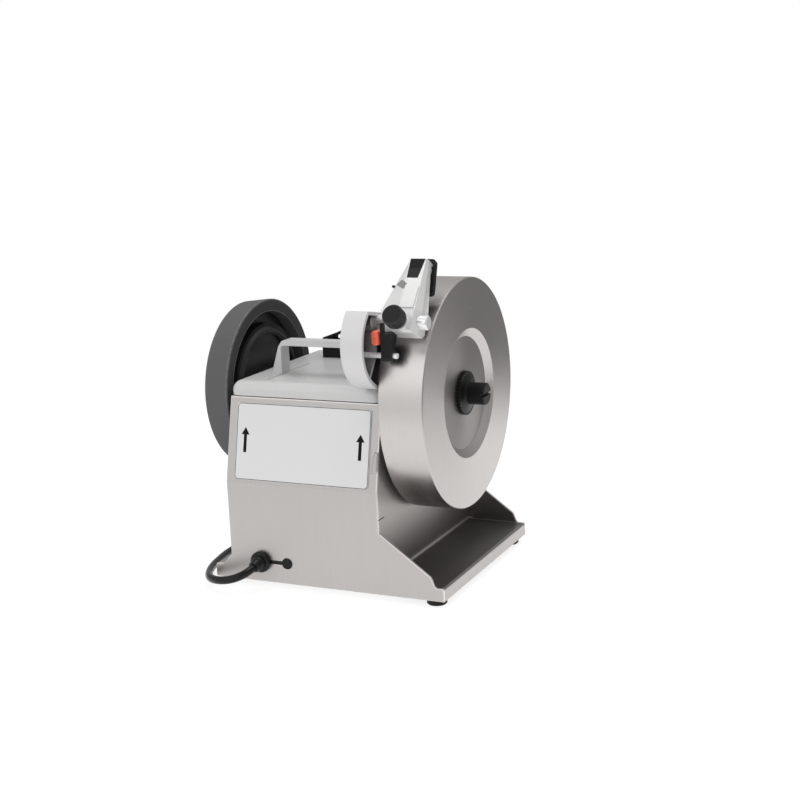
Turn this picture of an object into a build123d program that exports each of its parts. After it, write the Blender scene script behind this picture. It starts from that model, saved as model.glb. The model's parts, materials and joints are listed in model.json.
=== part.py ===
from build123d import *
import math
import os

# Knife grinding machine, in millimetres. While the pieces are made, x runs along the shaft from the
# outer face of the housing wall beside the grinding wheel, y to the rear from the shaft axis, z up.

# Housing sheets
housing_width = 144.3
housing_depth = 194.5
sheet = 2.0
skirt_z = 6.1
bend_z = 94.0
lean_run = 16.7
panel_top_rise = 4.9
bend_round = 6.0

# Dust tray under the grinding wheel, and the foot flange on the other side
tray_reach = 57.3
tray_floor_z = 17.2
tray_fold_round = 4.0
cheek_wall_z = 60.0
cheek_front = 11.3
cheek_low_z = 26.0
cheek_step = 3.5
flange_reach = 16.5
tongue_wall_z = 28.0

# Lid casting and its carrying handle
lid_height = 13.1
lid_wall = 4.0
lid_skin = 5.0
lid_round = 9.0
lid_groove = 0.8
lid_left_out = 1.5
handle_gap = 83.0
handle_rise = 25.5
handle_bar = 4.8
handle_foot = 10.4
handle_leg_top = 2.5
handle_slope = 4.0
handle_depth = 14.5
handle_y = -36.25
rib_width = 2.6
rib_height = 0.8
rib_front_y = -68.0
rib_rear_y = 6.0

# Name plate
plate_side_gap = 8.0
plate_top_gap = 5.0
plate_low_gap = 2.5
plate_thick = 0.8
plate_round = 4.0

# Spindle
shaft_height = 161.0
shaft_r = 6.0
press_gap = 0.02
run_gap = 0.05
bush_flange_r = 13.0
bush_flange = 4.0
bush_r = 10.0
bush_out = 1.0
collar_r = 16.0
collar_gap = 0.3
shoulder_r = 9.0

# Grinding wheel and its hand nut
wheel_r = 100.0
wheel_width = 40.0
wheel_gap = 5.8
wheel_edge = 0.8
recess_r = 56.0
recess_floor_r = 49.0
recess_depth = 5.5
back_recess_r = 72.0
back_recess_depth = 14.0
hub_r = 22.0
hub_step = 2.2
nut_flange_r = 19.0
nut_flange = 3.6
nut_flange_lip = 2.2
nut_barrel_r = 9.6
nut_length = 21.5
nut_cap = 3.8
nut_slot = 2.6
nut_slot_depth = 2.5
nut_ribs = 36
nut_rib_r = 0.8

# Honing wheel with the ring that the motor drives
honing_gap = 6.7
honing_width = 24.5
honing_r = 77.1
tyre_thick = 11.1
tyre_edge = 1.0
tyre_taper = 2.6
rim_wall = 4.0
web_step = 12.0
web_thick = 5.0
ring_wall = 7.0
ring_inset = 0.6
ring_round = 2.5
disc_step = 6.0
honing_hub_r = 14.0
band_thick = 3.0
drive_ring_inset = 2.5
washer_r = 13.0
washer_thick = 2.0
hex_flats = 19.0

# Motor, hung on the left wall below the shaft
roller_r = 4.6
nip_gap = 0.25
roller_side_gap = 1.55
roller_bore_r = 3.0
roller_end_gap = 1.5
motor_bush_gap = 2.85
motor_shaft_r = 4.0
cap_wall = 4.0
cap_end = 8.0
cap_left_length = 37.0
cap_right_length = 26.0
split_ratio = 13 / 22
air_gap = 0.6
winding_gap = 1.5
winding_bore_gap = 2.0
winding_length = 13.0
fan_r = 34.0
fan_hub_r = 10.0
fan_width = 11.0
fan_blades = 9
fan_blade_thick = 1.6
fan_side_gap = 6.0
fan_wall_gap = 5.3
motor_hole_r = 7.0
motor_screw_circle_r = 30.0
motor_screw_r = 2.0
motor_screw_length = 9.0
motor_head_r = 3.6
motor_head = 2.2

# Electrical parts on the bottom cover
cover_thick = 1.5
cover_lap = 8.0
cover_slots = 6
cover_slot_pitch = 12.0
cover_slot_width = 4.0
cover_slot_length = 46.0
cover_screw_r = 1.6
cover_screw_y = 60.0
cover_tab_screw_y = 45.0
cover_head_r = 3.2
cover_head = 1.8
capacitor_round = 1.5
tag_side = 5.0
tag_thick = 0.8
tag_width = 6.0
tag_length = 8.0
capacitor_r = 17.0
capacitor_length = 60.0
capacitor_y = -56.0
capacitor_x = -80.0
clip_wall = 2.0
clip_width = 16.0
clip_foot = 9.0
block_length = 40.0
block_depth = 17.0
block_height = 16.0
block_y = 52.0
block_x = -50.0
block_ways = 4

# Switch on the lid
switch_x = -117.0
switch_width = 34.0
switch_y = 38.0
switch_depth = 24.0
switch_height = 14.5
paddle_thick = 2.2
paddle_angle = 24.0
paddle_barrel_r = 2.2
paddle_pin_r = 1.2
paddle_ear = 2.5
paddle_side_gap = 0.4

# Feet
foot_r = 8.6
foot_panel_gap = 1.65
foot_lip_gap = 1.2
foot_edge_gap = 0.2
foot_cover_gap = 0.1
foot_screw_r = 2.0
foot_head_r = 4.0
foot_head = 2.0
foot_well = 4.0

# Guide arm on the lid, and the bar that it carries
arm_right_x = 3.5
arm_width = 19.5
arm_wall = 3.0
arm_round_r = 38.0
arm_gap = 0.3
arm_centre_back = 4.0
arm_top_rise = 29.7
arm_top_fall = 9.0
arm_foot_front_y = -68.0
arm_foot_rear_y = -34.0
arm_foot_rise = 6.0
arm_top_rear_y = -58.0
arm_rib = 2.6
arm_rib_inset = 4.3
arm_ribs = [
    ((-3.0, 18.4), (-3.0, -10.0)),
    ((-3.0, -8.0), (38.0, -37.5)),
    ((-3.0, -9.0), (-21.0, -31.0)),
    ((6.0, -15.0), (-6.0, -37.0)),
]
bar_reach = 12.41
bar_turn = 41.646
bar_r = 6.0
bar_out = 6.0
bar_boss_wall = 1.6
bar_boss_end_x = -1.0
bar_chamfer = 1.0
arm_screw_r = 2.0
arm_screw_length = 12.0
arm_head_r = 3.8
arm_head = 2.4
arm_screw_spacing = 20.0

# Knife guide, in its own leaning frame about the bar: ly to the rear, lz up along the blade
blade_lean = 32.0
guide_arm_gap = 1.1
guide_left_half = 21.4
guide_right_half = 15.3
guide_top_half = 8.5
guide_flat_left = 3.5
guide_flat_right = 10.5
guide_top_flat = 7.3
guide_low_z = -11.6
guide_shoulder_z = 8.5
guide_top_z = 57.0
guide_front = -9.0
guide_rear = 9.2
guide_top_front = 1.5
guide_low_facet = 6.0
guide_top_facet = 3.0
guide_toe = 4.0
guide_bore_gap = 0.08
panel_raise = 1.2
panel_low_left = 2.6
panel_low_right = 9.4
panel_middle_left = 3.4
panel_middle_right = 8.7
panel_top_left = 3.5
panel_top_right = 4.6
panel_end_gap = 1.5
panel_bend_drop = 8.0
panel_shoulder_gap = 0.5
window_top_half = 6.6
window_low_half = 4.9
window_z = 38.0
cushion_proud = 1.6
cushion_proud_height = 8.0
slot_gap = 2.0
jaw_top_half = 10.5
jaw_low_half = 14.0
jaw_low_z = 30.0
jaw_thick = 2.4
jaw_pad = 4.0
jaw_inset = 1.0
jaw_notch_drop = 8.0
jaw_notch_gap = 0.5
jaw_rise = 5.0
jaw_hole_gap = 0.7
jaw_top_round = 3.5
jaw_low_round = 3.0
jaw_pin_r = 1.5
jaw_pin_back = 4.2
jaw_pin_drop = 3.3
knuckle_r = 3.0
ear_r = 3.2
spring_side_gap = 0.3
spring_wire_r = 0.35
spring_r = 2.2
spring_pitch = 1.15
spring_turns = 3.5
spring_leg = 3.0

# Clamp knob
knob_side = 0.4
knob_z = -4.2
knob_r = 8.9
knob_length = 10.5
knob_teeth = 30
knob_tooth_r = 0.7
knob_stem_r = 3.0
knob_boss_r = 7.4
knob_boss = 3.3
knob_neck_r = 6.0
knob_gap = 0.3
knob_neck = 3.0
knob_tip_gap = 0.4

# Bracket, index pin and release button under the guide, placed from the bar
bracket_inset = 7.9
bracket_width = 9.3
bracket_front = 18.5
bracket_rear = 10.5
bracket_drop = 29.7
bracket_low_round = 3.9
bracket_top_inset = 3.0
fin_width = 2.6
fin_rise = 8.5
fin_depth = 4.0
pin_r = 2.3
pin_front = 14.0
pin_drop = 25.1
pin_out = 3.4
pin_slot_gap = 0.5
tilt_range = 8.0
button_width = 7.6
button_height = 12.0
button_depth = 7.0
button_round = 2.6
button_drop = 10.2
button_stem_r = 1.8
button_stem_drop = 15.1
button_travel = 2.5
button_side_gap = 0.8
lug_front = 11.0
lug_rear = 5.6
lug_low_drop = 18.5
lug_high_drop = 8.7

# Mains lead: gland, keyhole, free stretch, coil, tie and plug
cord_r = 3.5
gland_inset = 30.3
gland_nut_gap = 0.7
gland_flange_r = 9.4
gland_flange = 5.0
gland_shank_r = 6.0
gland_nut = 4.0
gland_nut_r = 8.4
gland_nose = 7.5
gland_nose_r = 6.4
gland_tip_r = 5.0
gland_turn = 14.0
gland_drop = 18.0
hole_gap = 0.2
keyhole_run = 25.0
keyhole_r = 4.7
keyhole_slot = 3.0
keyhole_proud = 1.0
lead_first_run = 6.0
lead_last_run = 8.0
route_front = [
    (38.8, -22.95, 13.7),
    (31.4, -26.35, 11.1),
    (22.2, -26.35, 9.1),
    (11.6, -22.85, 7.7),
    (1.0, -16.05, 6.5),
    (-8.5, -5.95, 5.3),
    (-16.4, 8.05, 4.0),
    (-22.4, 24.75, 2.7),
    (-26.6, 43.25, 1.6),
]
route_rear = [
    (-29.2, -130.25, 0.7),
    (-30.4, -106.75, 0.1),
    (-30.0, -81.75, 0.0),
    (-28.2, -57.25, 0.0),
    (-24.6, -32.75, 0.0),
    (-19.2, -8.75, 0.1),
    (-12.6, 14.25, 0.3),
    (-5.7, 35.25, 0.7),
    (-0.6, 54.75, 1.2),
]
arc_share = 0.45
coil_inset = 37.3
coil_inner_r = 28.0
coil_gap = 1.4
coil_layer_gap = 1.0
coil_climb_inset = 2.0
coil_halves = 6
tie_thick = 1.0
tie_width = 12.0
tie_gap = 0.4
tie_side_gap = 1.2
boot_length = 27.0
boot_r = 4.4
boot_end_r = 7.0
plug_length = 24.0
plug_width = 24.0
plug_round = 4.0
blade_length = 16.0
blade_width = 6.3
blade_thick = 1.5
blade_spacing = 12.7
earth_r = 2.4
earth_rise = 6.0
earth_longer = 2.0
plug_wall_gap = 4.75

# Values that follow from the driving dimensions
half_depth = housing_depth / 2
panel_top_z = shaft_height + panel_top_rise
lean = math.atan2(lean_run, panel_top_z - bend_z)
lid_top_z = panel_top_z + lid_height
lid_half_depth = half_depth - lean_run
left_x = -housing_width
flange_x = left_x - flange_reach
lid_left_x = left_x - lid_left_out
cheek_low_x = tray_reach - cheek_front
wheel_left_x = wheel_gap
wheel_right_x = wheel_gap + wheel_width
recess_x = wheel_right_x - recess_depth
shaft_end_x = recess_x + nut_length - nut_cap
honing_right_x = left_x - honing_gap
honing_left_x = honing_right_x - honing_width
web_x = honing_right_x - web_step
hub_left_x = web_x - web_thick
tyre_inner_r = honing_r - tyre_thick
drive_r = tyre_inner_r - roller_side_gap - 2 * roller_r - nip_gap
ring_r = drive_r - band_thick
ring_inner_r = ring_r - ring_wall
motor_drop = drive_r + nip_gap + roller_r
motor_z = shaft_height - motor_drop
motor_r = motor_drop - bush_flange_r - motor_bush_gap
rotor_r = motor_r * split_ratio
winding_r = motor_r - cap_wall - winding_gap
winding_inner_r = rotor_r + winding_bore_gap
fan_room = fan_side_gap + fan_width + fan_wall_gap
stack_length = housing_width - 2 * sheet - cap_left_length - cap_right_length - fan_room
stack_left_x = left_x + sheet + cap_left_length
stack_right_x = stack_left_x + stack_length
cap_right_end_x = stack_right_x + cap_right_length
bar_y = -(wheel_r + bar_reach) * math.cos(math.radians(bar_turn))
bar_z = shaft_height + (wheel_r + bar_reach) * math.sin(math.radians(bar_turn))
arm_left_x = arm_right_x - arm_width
arm_centre_y = bar_y + arm_centre_back
arm_centre_z = lid_top_z + arm_gap + arm_round_r
arm_top_z = arm_centre_z + arm_top_rise
cover_z = tray_floor_z - sheet - cover_thick
foot_y = half_depth - sheet - foot_r - foot_panel_gap
foot_right_x = tray_reach - sheet - foot_r - foot_lip_gap
foot_left_x = flange_x + foot_r + foot_edge_gap
gland_x = left_x + gland_inset
gland_z = tray_floor_z - sheet + gland_nut_r + gland_nut_gap
keyhole_x = gland_x + keyhole_run
plug_reach = 2 * cord_r + boot_length + plug_length + blade_length + earth_longer
coil_pitch = 2 * cord_r + coil_gap
coil_layer = 2 * cord_r + coil_layer_gap
coil_x = left_x + coil_inset
coil_y = half_depth + plug_wall_gap + plug_reach
coil_z = cord_r + tie_thick + tie_gap
coil_outer_r = coil_inner_r + coil_halves * coil_pitch / 2
guide_frame = Pos(0, bar_y, bar_z) * Rot(-blade_lean, 0, 0)
guide_left_x = arm_right_x + guide_arm_gap
guide_mid_x = guide_left_x + guide_left_half
guide_right_x = guide_mid_x + guide_right_half
bar_end_x = guide_right_x + bar_out
top_left_x = guide_mid_x - guide_top_half
top_right_x = guide_mid_x + guide_top_half
window_left_x = guide_mid_x - window_top_half
window_right_x = guide_mid_x + window_top_half
jaw_pin_y = guide_rear + jaw_pin_back
jaw_pin_z = guide_top_z - jaw_pin_drop
spring_room = spring_turns * spring_pitch + 2 * spring_wire_r + 2 * spring_side_gap
knob_x = guide_mid_x + knob_side
bracket_x = guide_left_x + bracket_inset
bracket_front_y = bar_y - bracket_front
bracket_rear_y = bar_y - bracket_rear
bracket_low_z = bar_z - bracket_drop
pin_y = bar_y - pin_front
pin_z = bar_z - pin_drop
button_z = bar_z - button_drop
button_stem_z = bar_z - button_stem_drop
lug_front_y = bar_y - lug_front
lug_rear_y = bar_y - lug_rear
lug_low_z = bar_z - lug_low_drop
lug_high_z = bar_z - lug_high_drop


def block(x0, x1, y0, y1, z0, z1):
    """Box between two corners."""
    return Pos((x0 + x1) / 2, (y0 + y1) / 2, (z0 + z1) / 2) * Box(abs(x1 - x0), abs(y1 - y0), abs(z1 - z0))


def rod_x(radius, x0, x1, y=0.0, z=0.0):
    """Round rod along x."""
    return Pos((x0 + x1) / 2, y, z) * Rot(0, 90, 0) * Cylinder(radius, abs(x1 - x0))


def rod_y(radius, y0, y1, x=0.0, z=0.0):
    """Round rod along y."""
    return Pos(x, (y0 + y1) / 2, z) * Rot(90, 0, 0) * Cylinder(radius, abs(y1 - y0))


def rod_z(radius, z0, z1, x=0.0, y=0.0):
    """Round rod along z."""
    return Pos(x, y, (z0 + z1) / 2) * Cylinder(radius, abs(z1 - z0))


def outline(points, rounds=()):
    """Flat face through the points; rounds lists pairs of corner number and radius."""
    face = make_face(Polyline(*points, close=True))
    for number, radius in rounds:
        corner = face.vertices().sort_by_distance((*points[number], 0))[0]
        face = fillet(corner, radius)
    return face


def plate_x(face, x0, x1):
    """Face drawn in y and z, made a plate from x0 to x1."""
    return extrude(Plane.YZ.offset(x0) * face, amount=x1 - x0)


def plate_y(face, y0, y1):
    """Face drawn in x and z, made a plate from y0 to y1."""
    return extrude(Plane.XZ.offset(-y1) * face, amount=y1 - y0)


def plate_z(face, z0, z1):
    """Face drawn in x and y, made a plate from z0 to z1."""
    return extrude(Plane.XY.offset(z0) * face, amount=z1 - z0)


def turned(points, z):
    """Body of revolution about the line y = 0 at height z, from points of x and radius."""
    return Pos(0, 0, z) * revolve(make_face(Polyline(*points, close=True)), axis=Axis.X)


def half_turns(stations):
    """Clockwise curve about z in half turns of two arcs each, through pairs of radius and height."""
    arcs = []
    for count in range(len(stations) - 1):
        side = -1 if count % 2 == 0 else 1
        (r0, z0), (r1, z1) = stations[count], stations[count + 1]
        start = Vector(side * r0, 0, z0)
        end = Vector(-side * r1, 0, z1)
        reach = math.hypot(r0 + r1, z1 - z0) / 2
        ahead = Vector(0, -side, 0)
        middle = (start + end) / 2 + ahead * reach
        arcs.append(TangentArc(start, middle, tangent=ahead))
        arcs.append(TangentArc(middle, end, tangent=end - start))
    return arcs


def least_gap(path, radius, skip):
    """Least gap between a tube's turns, for points further apart than skip along it."""
    steps = int(path.length / (radius * 0.8))
    points = [path.position_at(step / steps) for step in range(steps + 1)]
    near = math.ceil(skip / (path.length / steps))
    gaps = [(points[i] - points[j]).length for i in range(steps) for j in range(i + near, steps + 1)]
    return min(gaps) - 2 * radius


def tube(path, radius):
    """Round tube along a path."""
    return sweep(Plane(path @ 0, z_dir=path % 0) * Circle(radius), path=path)


def section_line(inset, top_z):
    """Half of the housing's cross-section at an inset from its outside, as y and z from bottom to top."""
    knee = bend_z - inset * math.tan(lean / 2)
    run = (top_z - bend_z) * math.tan(lean)
    return [
        (half_depth - inset, skirt_z),
        (half_depth - inset, knee),
        (half_depth - run - inset / math.cos(lean), top_z),
    ]


def side_face(low_z):
    """Wall that fits between the front and rear sheets, from low_z to the lid."""
    low, knee, top = section_line(sheet, panel_top_z)
    half = [(low[0], low_z), knee, top]
    fold = bend_round - sheet
    return outline([(-y, z) for y, z in half] + half[::-1], [(1, fold), (4, fold)])


def end_panel():
    """Bent sheet at the rear, with its tray cheek and foot tongue."""
    outer = section_line(0.0, panel_top_z)
    inner = section_line(sheet, panel_top_z)
    bent = outline(outer + inner[::-1], [(1, bend_round), (4, bend_round - sheet)])
    panel = plate_x(bent, left_x, 0)
    cheek = outline(
        [
            (flange_x, skirt_z),
            (tray_reach, skirt_z),
            (tray_reach, tray_floor_z),
            (cheek_low_x + cheek_step, tray_floor_z),
            (cheek_low_x, cheek_low_z),
            (0, cheek_wall_z),
            (left_x, cheek_wall_z),
            (left_x, tongue_wall_z),
            (flange_x + tray_fold_round * 2, tray_floor_z + 1),
            (flange_x, tray_floor_z + 1),
        ],
        [(2, 2.0), (3, 3.0), (4, 3.0), (8, tray_fold_round), (9, 2.0)],
    )
    return panel + plate_y(cheek, half_depth - sheet, half_depth)


def front_panel():
    """Front sheet: the mirror of the rear one, with the keyhole slot for the mains lead."""
    y0, y1 = -half_depth - 1, -half_depth + sheet + 1
    half = keyhole_slot / 2 + hole_gap
    panel = mirror(end_panel(), about=Plane.XZ)
    panel -= rod_y(gland_shank_r + hole_gap, y0, y1, gland_x, gland_z)
    panel -= rod_y(keyhole_r + hole_gap, y0, y1, keyhole_x, gland_z)
    return panel - block(gland_x, keyhole_x, y0, y1, gland_z - half, gland_z + half)


def right_wall():
    """Wall beside the grinding wheel, folded out into the tray floor and its lip."""
    inner_y = half_depth - sheet
    wall = plate_x(side_face(tray_floor_z - sheet), -sheet, 0)
    tray = outline(
        [
            (-sheet, tray_floor_z - sheet),
            (tray_reach - sheet, tray_floor_z - sheet),
            (tray_reach - sheet, skirt_z),
            (tray_reach, skirt_z),
            (tray_reach, tray_floor_z),
            (0, tray_floor_z),
            (0, tray_floor_z + 3 * tray_fold_round),
            (-sheet, tray_floor_z + 3 * tray_fold_round),
        ],
        [(4, 2.0), (5, tray_fold_round)],
    )
    wall += plate_y(tray, -inner_y, inner_y)
    return wall - rod_x(bush_r + press_gap, -sheet - 1, 1, 0, shaft_height)


def left_wall():
    """Wall beside the honing wheel, folded out into the foot flange."""
    inner_y = half_depth - sheet
    low_z = tray_floor_z - sheet
    wall = plate_x(side_face(low_z), left_x, left_x + sheet)
    wall += block(flange_x, left_x + sheet, -inner_y, inner_y, low_z, tray_floor_z)
    wall -= rod_x(bush_r + press_gap, left_x - 1, left_x + sheet + 1, 0, shaft_height)
    wall -= rod_x(motor_hole_r, left_x - 1, left_x + sheet + 1, 0, motor_z)
    for y, z in motor_screw_places():
        wall -= rod_x(motor_screw_r + hole_gap, left_x - 1, left_x + sheet + 1, y, z)
    return wall


def motor_screw_places():
    """Places of the motor's screws round its axis."""
    places = []
    for count in range(4):
        turn = math.radians(45 + 90 * count)
        y = motor_screw_circle_r * math.cos(turn)
        places.append((y, motor_z + motor_screw_circle_r * math.sin(turn)))
    return places


def cover_screw_places():
    """Places of the bottom cover's screws, under the tray floor and the foot flange."""
    right_x, side_x = cover_lap / 2, left_x - cover_lap / 2
    right = [(right_x, -cover_screw_y), (right_x, cover_screw_y)]
    return right + [(side_x, -cover_tab_screw_y), (side_x, cover_tab_screw_y)]


def bottom_cover():
    """Closing plate under the housing, with air slots."""
    inner_y = half_depth - sheet
    tab_y = foot_y - 2 * foot_r
    low_z, high_z = cover_z, cover_z + cover_thick
    cover = block(foot_left_x + foot_r + foot_cover_gap, cover_lap, -inner_y, inner_y, low_z, high_z)
    cover += block(left_x - cover_lap, left_x + 2, -tab_y, tab_y, low_z, high_z)
    half, run = cover_slot_width / 2, cover_slot_length / 2
    for count in range(cover_slots):
        x = left_x / 2 + (count - (cover_slots - 1) / 2) * cover_slot_pitch
        cover -= block(x - half, x + half, -run, run, low_z - 1, high_z + 1)
    for x, y in cover_screw_places():
        cover -= rod_z(cover_screw_r + hole_gap, low_z - 1, high_z + 1, x, y)
    return cover


def bottom_screws():
    """Four screws that hold the cover; their points end inside the sheet above."""
    screws = Part()
    for x, y in cover_screw_places():
        screws += rod_z(cover_head_r, cover_z - cover_head, cover_z, x, y)
        screws += rod_z(cover_screw_r, cover_z, cover_z + cover_thick, x, y)
    return screws


def handle_profile():
    """Handle seen from the front: two tapered legs and a flat bar with bevelled corners."""
    half = handle_gap / 2
    under = lid_top_z + handle_rise
    top = under + handle_bar
    low = lid_top_z - lid_skin / 2
    right = [
        (half, low),
        (half + handle_foot, low),
        (half + handle_foot, lid_top_z),
        (half + handle_leg_top, under - 1),
        (half + handle_leg_top - handle_slope, top),
    ]
    loop = right + [(-x, z) for x, z in right[::-1]] + [(-half, under), (half, under)]
    return outline(loop, [(3, 4.0), (4, 4.0), (5, 4.0), (6, 4.0), (10, 3.0), (11, 3.0)])


def lid_block(inset, high_z):
    """Block with rounded upright edges, at an inset from the lid's sides, from the panels' top upwards."""
    half = lid_half_depth - inset
    body = block(lid_left_x + inset, -inset, -half, half, panel_top_z, high_z)
    return fillet(body.edges().filter_by(Axis.Z), lid_round - inset)


def top_casting():
    """Hollow lid with rounded edges, its carrying handle, a low rib and the holes for the arm's screws."""
    groove_z = panel_top_z + lid_groove
    lid = lid_block(0, lid_top_z)
    lid = fillet(lid.faces().sort_by(Axis.Z)[-1].edges(), lid_round)
    lid -= lid_block(lid_wall, lid_top_z - lid_skin)
    edge = block(lid_left_x, 0, -half_depth, half_depth, panel_top_z, groove_z)
    lid -= edge - lid_block(lid_groove, groove_z)
    handle = plate_y(handle_profile(), handle_y - handle_depth / 2, handle_y + handle_depth / 2)
    leg_x = left_x / 2 - handle_gap / 2
    rib_low_z = lid_top_z - lid_skin / 2
    lid += Pos(left_x / 2, 0, 0) * handle
    lid += block(leg_x - rib_width, leg_x, rib_front_y, rib_rear_y, rib_low_z, lid_top_z + rib_height)
    for x, y in arm_screw_places():
        lid -= rod_z(arm_screw_r + hole_gap, panel_top_z, lid_top_z + 1, x, y)
    lid -= rod_x(bush_r + press_gap, lid_left_x - 1, 1, 0, shaft_height)
    return lid - rod_x(bush_flange_r + hole_gap, left_x + sheet, -sheet, 0, shaft_height)


def name_plate():
    """Thin plate on the leaning part of the front panel."""
    run = math.hypot(lean_run, panel_top_z - bend_z)
    low, high = plate_low_gap, run - plate_top_gap
    half = housing_width / 2 - plate_side_gap
    face = outline(
        [(-half, low), (half, low), (half, high), (-half, high)],
        [(0, plate_round), (1, plate_round), (2, plate_round / 2), (3, plate_round / 2)],
    )
    slope = Plane(
        origin=(left_x / 2, -half_depth, bend_z),
        x_dir=(1, 0, 0),
        z_dir=(0, -math.cos(lean), math.sin(lean)),
    )
    return extrude(slope * face, amount=plate_thick)


def main_shaft():
    """Spindle through both walls, with a shoulder for the honing wheel."""
    shoulder_x = left_x - bush_out - collar_gap
    shaft = rod_x(shaft_r, honing_left_x + 0.5, shaft_end_x, 0, shaft_height)
    return shaft + rod_x(shoulder_r, honing_right_x + 0.5, shoulder_x, 0, shaft_height)


def shaft_bush(wall_x, way):
    """Flanged bush in a wall; way is 1 where the outside lies towards +x."""
    inside = wall_x - way * sheet
    inner_x = inside - way * bush_flange
    outer_x = wall_x + way * bush_out
    bush = rod_x(bush_flange_r, inner_x, inside, 0, shaft_height)
    bush += rod_x(bush_r, inside, outer_x, 0, shaft_height)
    return bush - rod_x(shaft_r + run_gap, inner_x - way, outer_x + way, 0, shaft_height)


def wheel_collar():
    """Collar on the shaft that the grinding wheel's hub is pressed against."""
    collar = rod_x(collar_r, bush_out + collar_gap, wheel_left_x + hub_step, 0, shaft_height)
    return collar - rod_x(shaft_r + press_gap, 0, wheel_left_x + hub_step + 1, 0, shaft_height)


def grinding_wheel():
    """Steel wheel with a bevelled recess in the right face and a deeper one behind."""
    bore = shaft_r + press_gap
    web_left_x = wheel_left_x + back_recess_depth
    return turned(
        [
            (wheel_left_x + hub_step, bore),
            (wheel_left_x + hub_step, hub_r),
            (web_left_x, hub_r),
            (web_left_x, back_recess_r),
            (wheel_left_x, back_recess_r),
            (wheel_left_x, wheel_r - wheel_edge),
            (wheel_left_x + wheel_edge, wheel_r),
            (wheel_right_x - wheel_edge, wheel_r),
            (wheel_right_x, wheel_r - wheel_edge),
            (wheel_right_x, recess_r),
            (recess_x, recess_floor_r),
            (recess_x, bore),
        ],
        shaft_height,
    )


def wheel_lock_nut():
    """Hand nut: a ribbed flange and a plain barrel with a slotted end."""
    end_x = recess_x + nut_length
    flange_x = recess_x + nut_flange
    nut = turned(
        [
            (recess_x, 0),
            (recess_x, nut_flange_r),
            (flange_x, nut_flange_r),
            (flange_x, nut_flange_r - nut_flange_lip),
            (flange_x + 1.2, nut_barrel_r + 2),
            (flange_x + 2.4, nut_barrel_r),
            (end_x - 1, nut_barrel_r),
            (end_x, nut_barrel_r - 1),
            (end_x, 0),
        ],
        shaft_height,
    )
    for count in range(nut_ribs):
        turn = 2 * math.pi * count / nut_ribs
        y = nut_flange_r * math.cos(turn)
        z = shaft_height + nut_flange_r * math.sin(turn)
        nut -= rod_x(nut_rib_r, recess_x - 1, flange_x + 1, y, z)
    nut -= rod_x(shaft_r + run_gap, recess_x - 1, shaft_end_x + 0.5, 0, shaft_height)
    slot = Pos(end_x, 0, shaft_height) * Box(2 * nut_slot_depth, 2 * nut_barrel_r, nut_slot)
    return nut - slot


def honing_tyre():
    """Composite ring of the honing wheel, a little smaller on its outer side."""
    return turned(
        [
            (honing_right_x, tyre_inner_r),
            (honing_right_x, honing_r - tyre_edge),
            (honing_right_x - tyre_edge, honing_r),
            (honing_left_x + tyre_edge, honing_r - tyre_taper),
            (honing_left_x, honing_r - tyre_taper - tyre_edge),
            (honing_left_x, tyre_inner_r),
        ],
        shaft_height,
    )


def drive_wheel():
    """Hub, web, tyre seat and raised ring of the honing wheel."""
    bore = shaft_r + press_gap
    rim_r = tyre_inner_r - press_gap
    ring_x = honing_right_x - ring_inset
    disc_x = honing_right_x - disc_step
    return turned(
        [
            (honing_right_x + 0.5, bore),
            (honing_right_x + 0.5, honing_hub_r),
            (disc_x, honing_hub_r),
            (disc_x, ring_inner_r),
            (ring_x - ring_round, ring_inner_r),
            (ring_x, ring_inner_r + ring_round),
            (ring_x, ring_r - ring_round),
            (ring_x - ring_round, ring_r),
            (web_x, ring_r),
            (web_x, rim_r),
            (honing_left_x + tyre_edge, rim_r),
            (honing_left_x + tyre_edge, rim_r - rim_wall),
            (hub_left_x, rim_r - rim_wall),
            (hub_left_x, bore),
        ],
        shaft_height,
    )


def friction_ring():
    """Rubber band on the raised ring, which the motor's roller drives."""
    band = rod_x(drive_r, web_x, honing_right_x - ring_inset - drive_ring_inset, 0, shaft_height)
    return band - rod_x(ring_r + press_gap, web_x - 1, honing_right_x, 0, shaft_height)


def honing_washer():
    """Washer under the honing wheel's nut."""
    x0, x1 = hub_left_x - washer_thick, hub_left_x
    washer = rod_x(washer_r, x0, x1, 0, shaft_height)
    return washer - rod_x(shaft_r + press_gap, x0 - 1, x1 + 1, 0, shaft_height)


def honing_nut():
    """Hexagon nut on the left end of the shaft."""
    hexagon = RegularPolygon(hex_flats / 2, 6, major_radius=False)
    nut = Pos(0, 0, shaft_height) * plate_x(hexagon, honing_left_x, hub_left_x - washer_thick)
    return nut - rod_x(shaft_r + press_gap, honing_left_x - 1, hub_left_x, 0, shaft_height)


def motor_cap(inner_x, end_x, way):
    """Cup-shaped motor end with a bearing bore; way points from the stack to the closed end."""
    cap = rod_x(motor_r, inner_x, end_x, 0, motor_z)
    cap -= rod_x(motor_r - cap_wall, inner_x - way, end_x - way * cap_end, 0, motor_z)
    return cap - rod_x(motor_shaft_r + run_gap, inner_x, end_x + way, 0, motor_z)


def motor_cap_left():
    """Motor end that is screwed to the left wall."""
    wall_x = left_x + sheet
    cap = motor_cap(stack_left_x, wall_x, -1)
    for y, z in motor_screw_places():
        cap -= rod_x(motor_screw_r + press_gap, wall_x - 1, wall_x + motor_screw_length - sheet + 0.2, y, z)
    return cap


def motor_screws():
    """Four screws through the left wall into the motor."""
    screws = Part()
    for y, z in motor_screw_places():
        screws += rod_x(motor_head_r, left_x - motor_head, left_x, y, z)
        screws += rod_x(motor_screw_r, left_x, left_x + motor_screw_length, y, z)
    return screws


def motor_stator():
    """Lamination stack."""
    stack = rod_x(motor_r, stack_left_x, stack_right_x, 0, motor_z)
    return stack - rod_x(rotor_r + air_gap, stack_left_x - 1, stack_right_x + 1, 0, motor_z)


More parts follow.
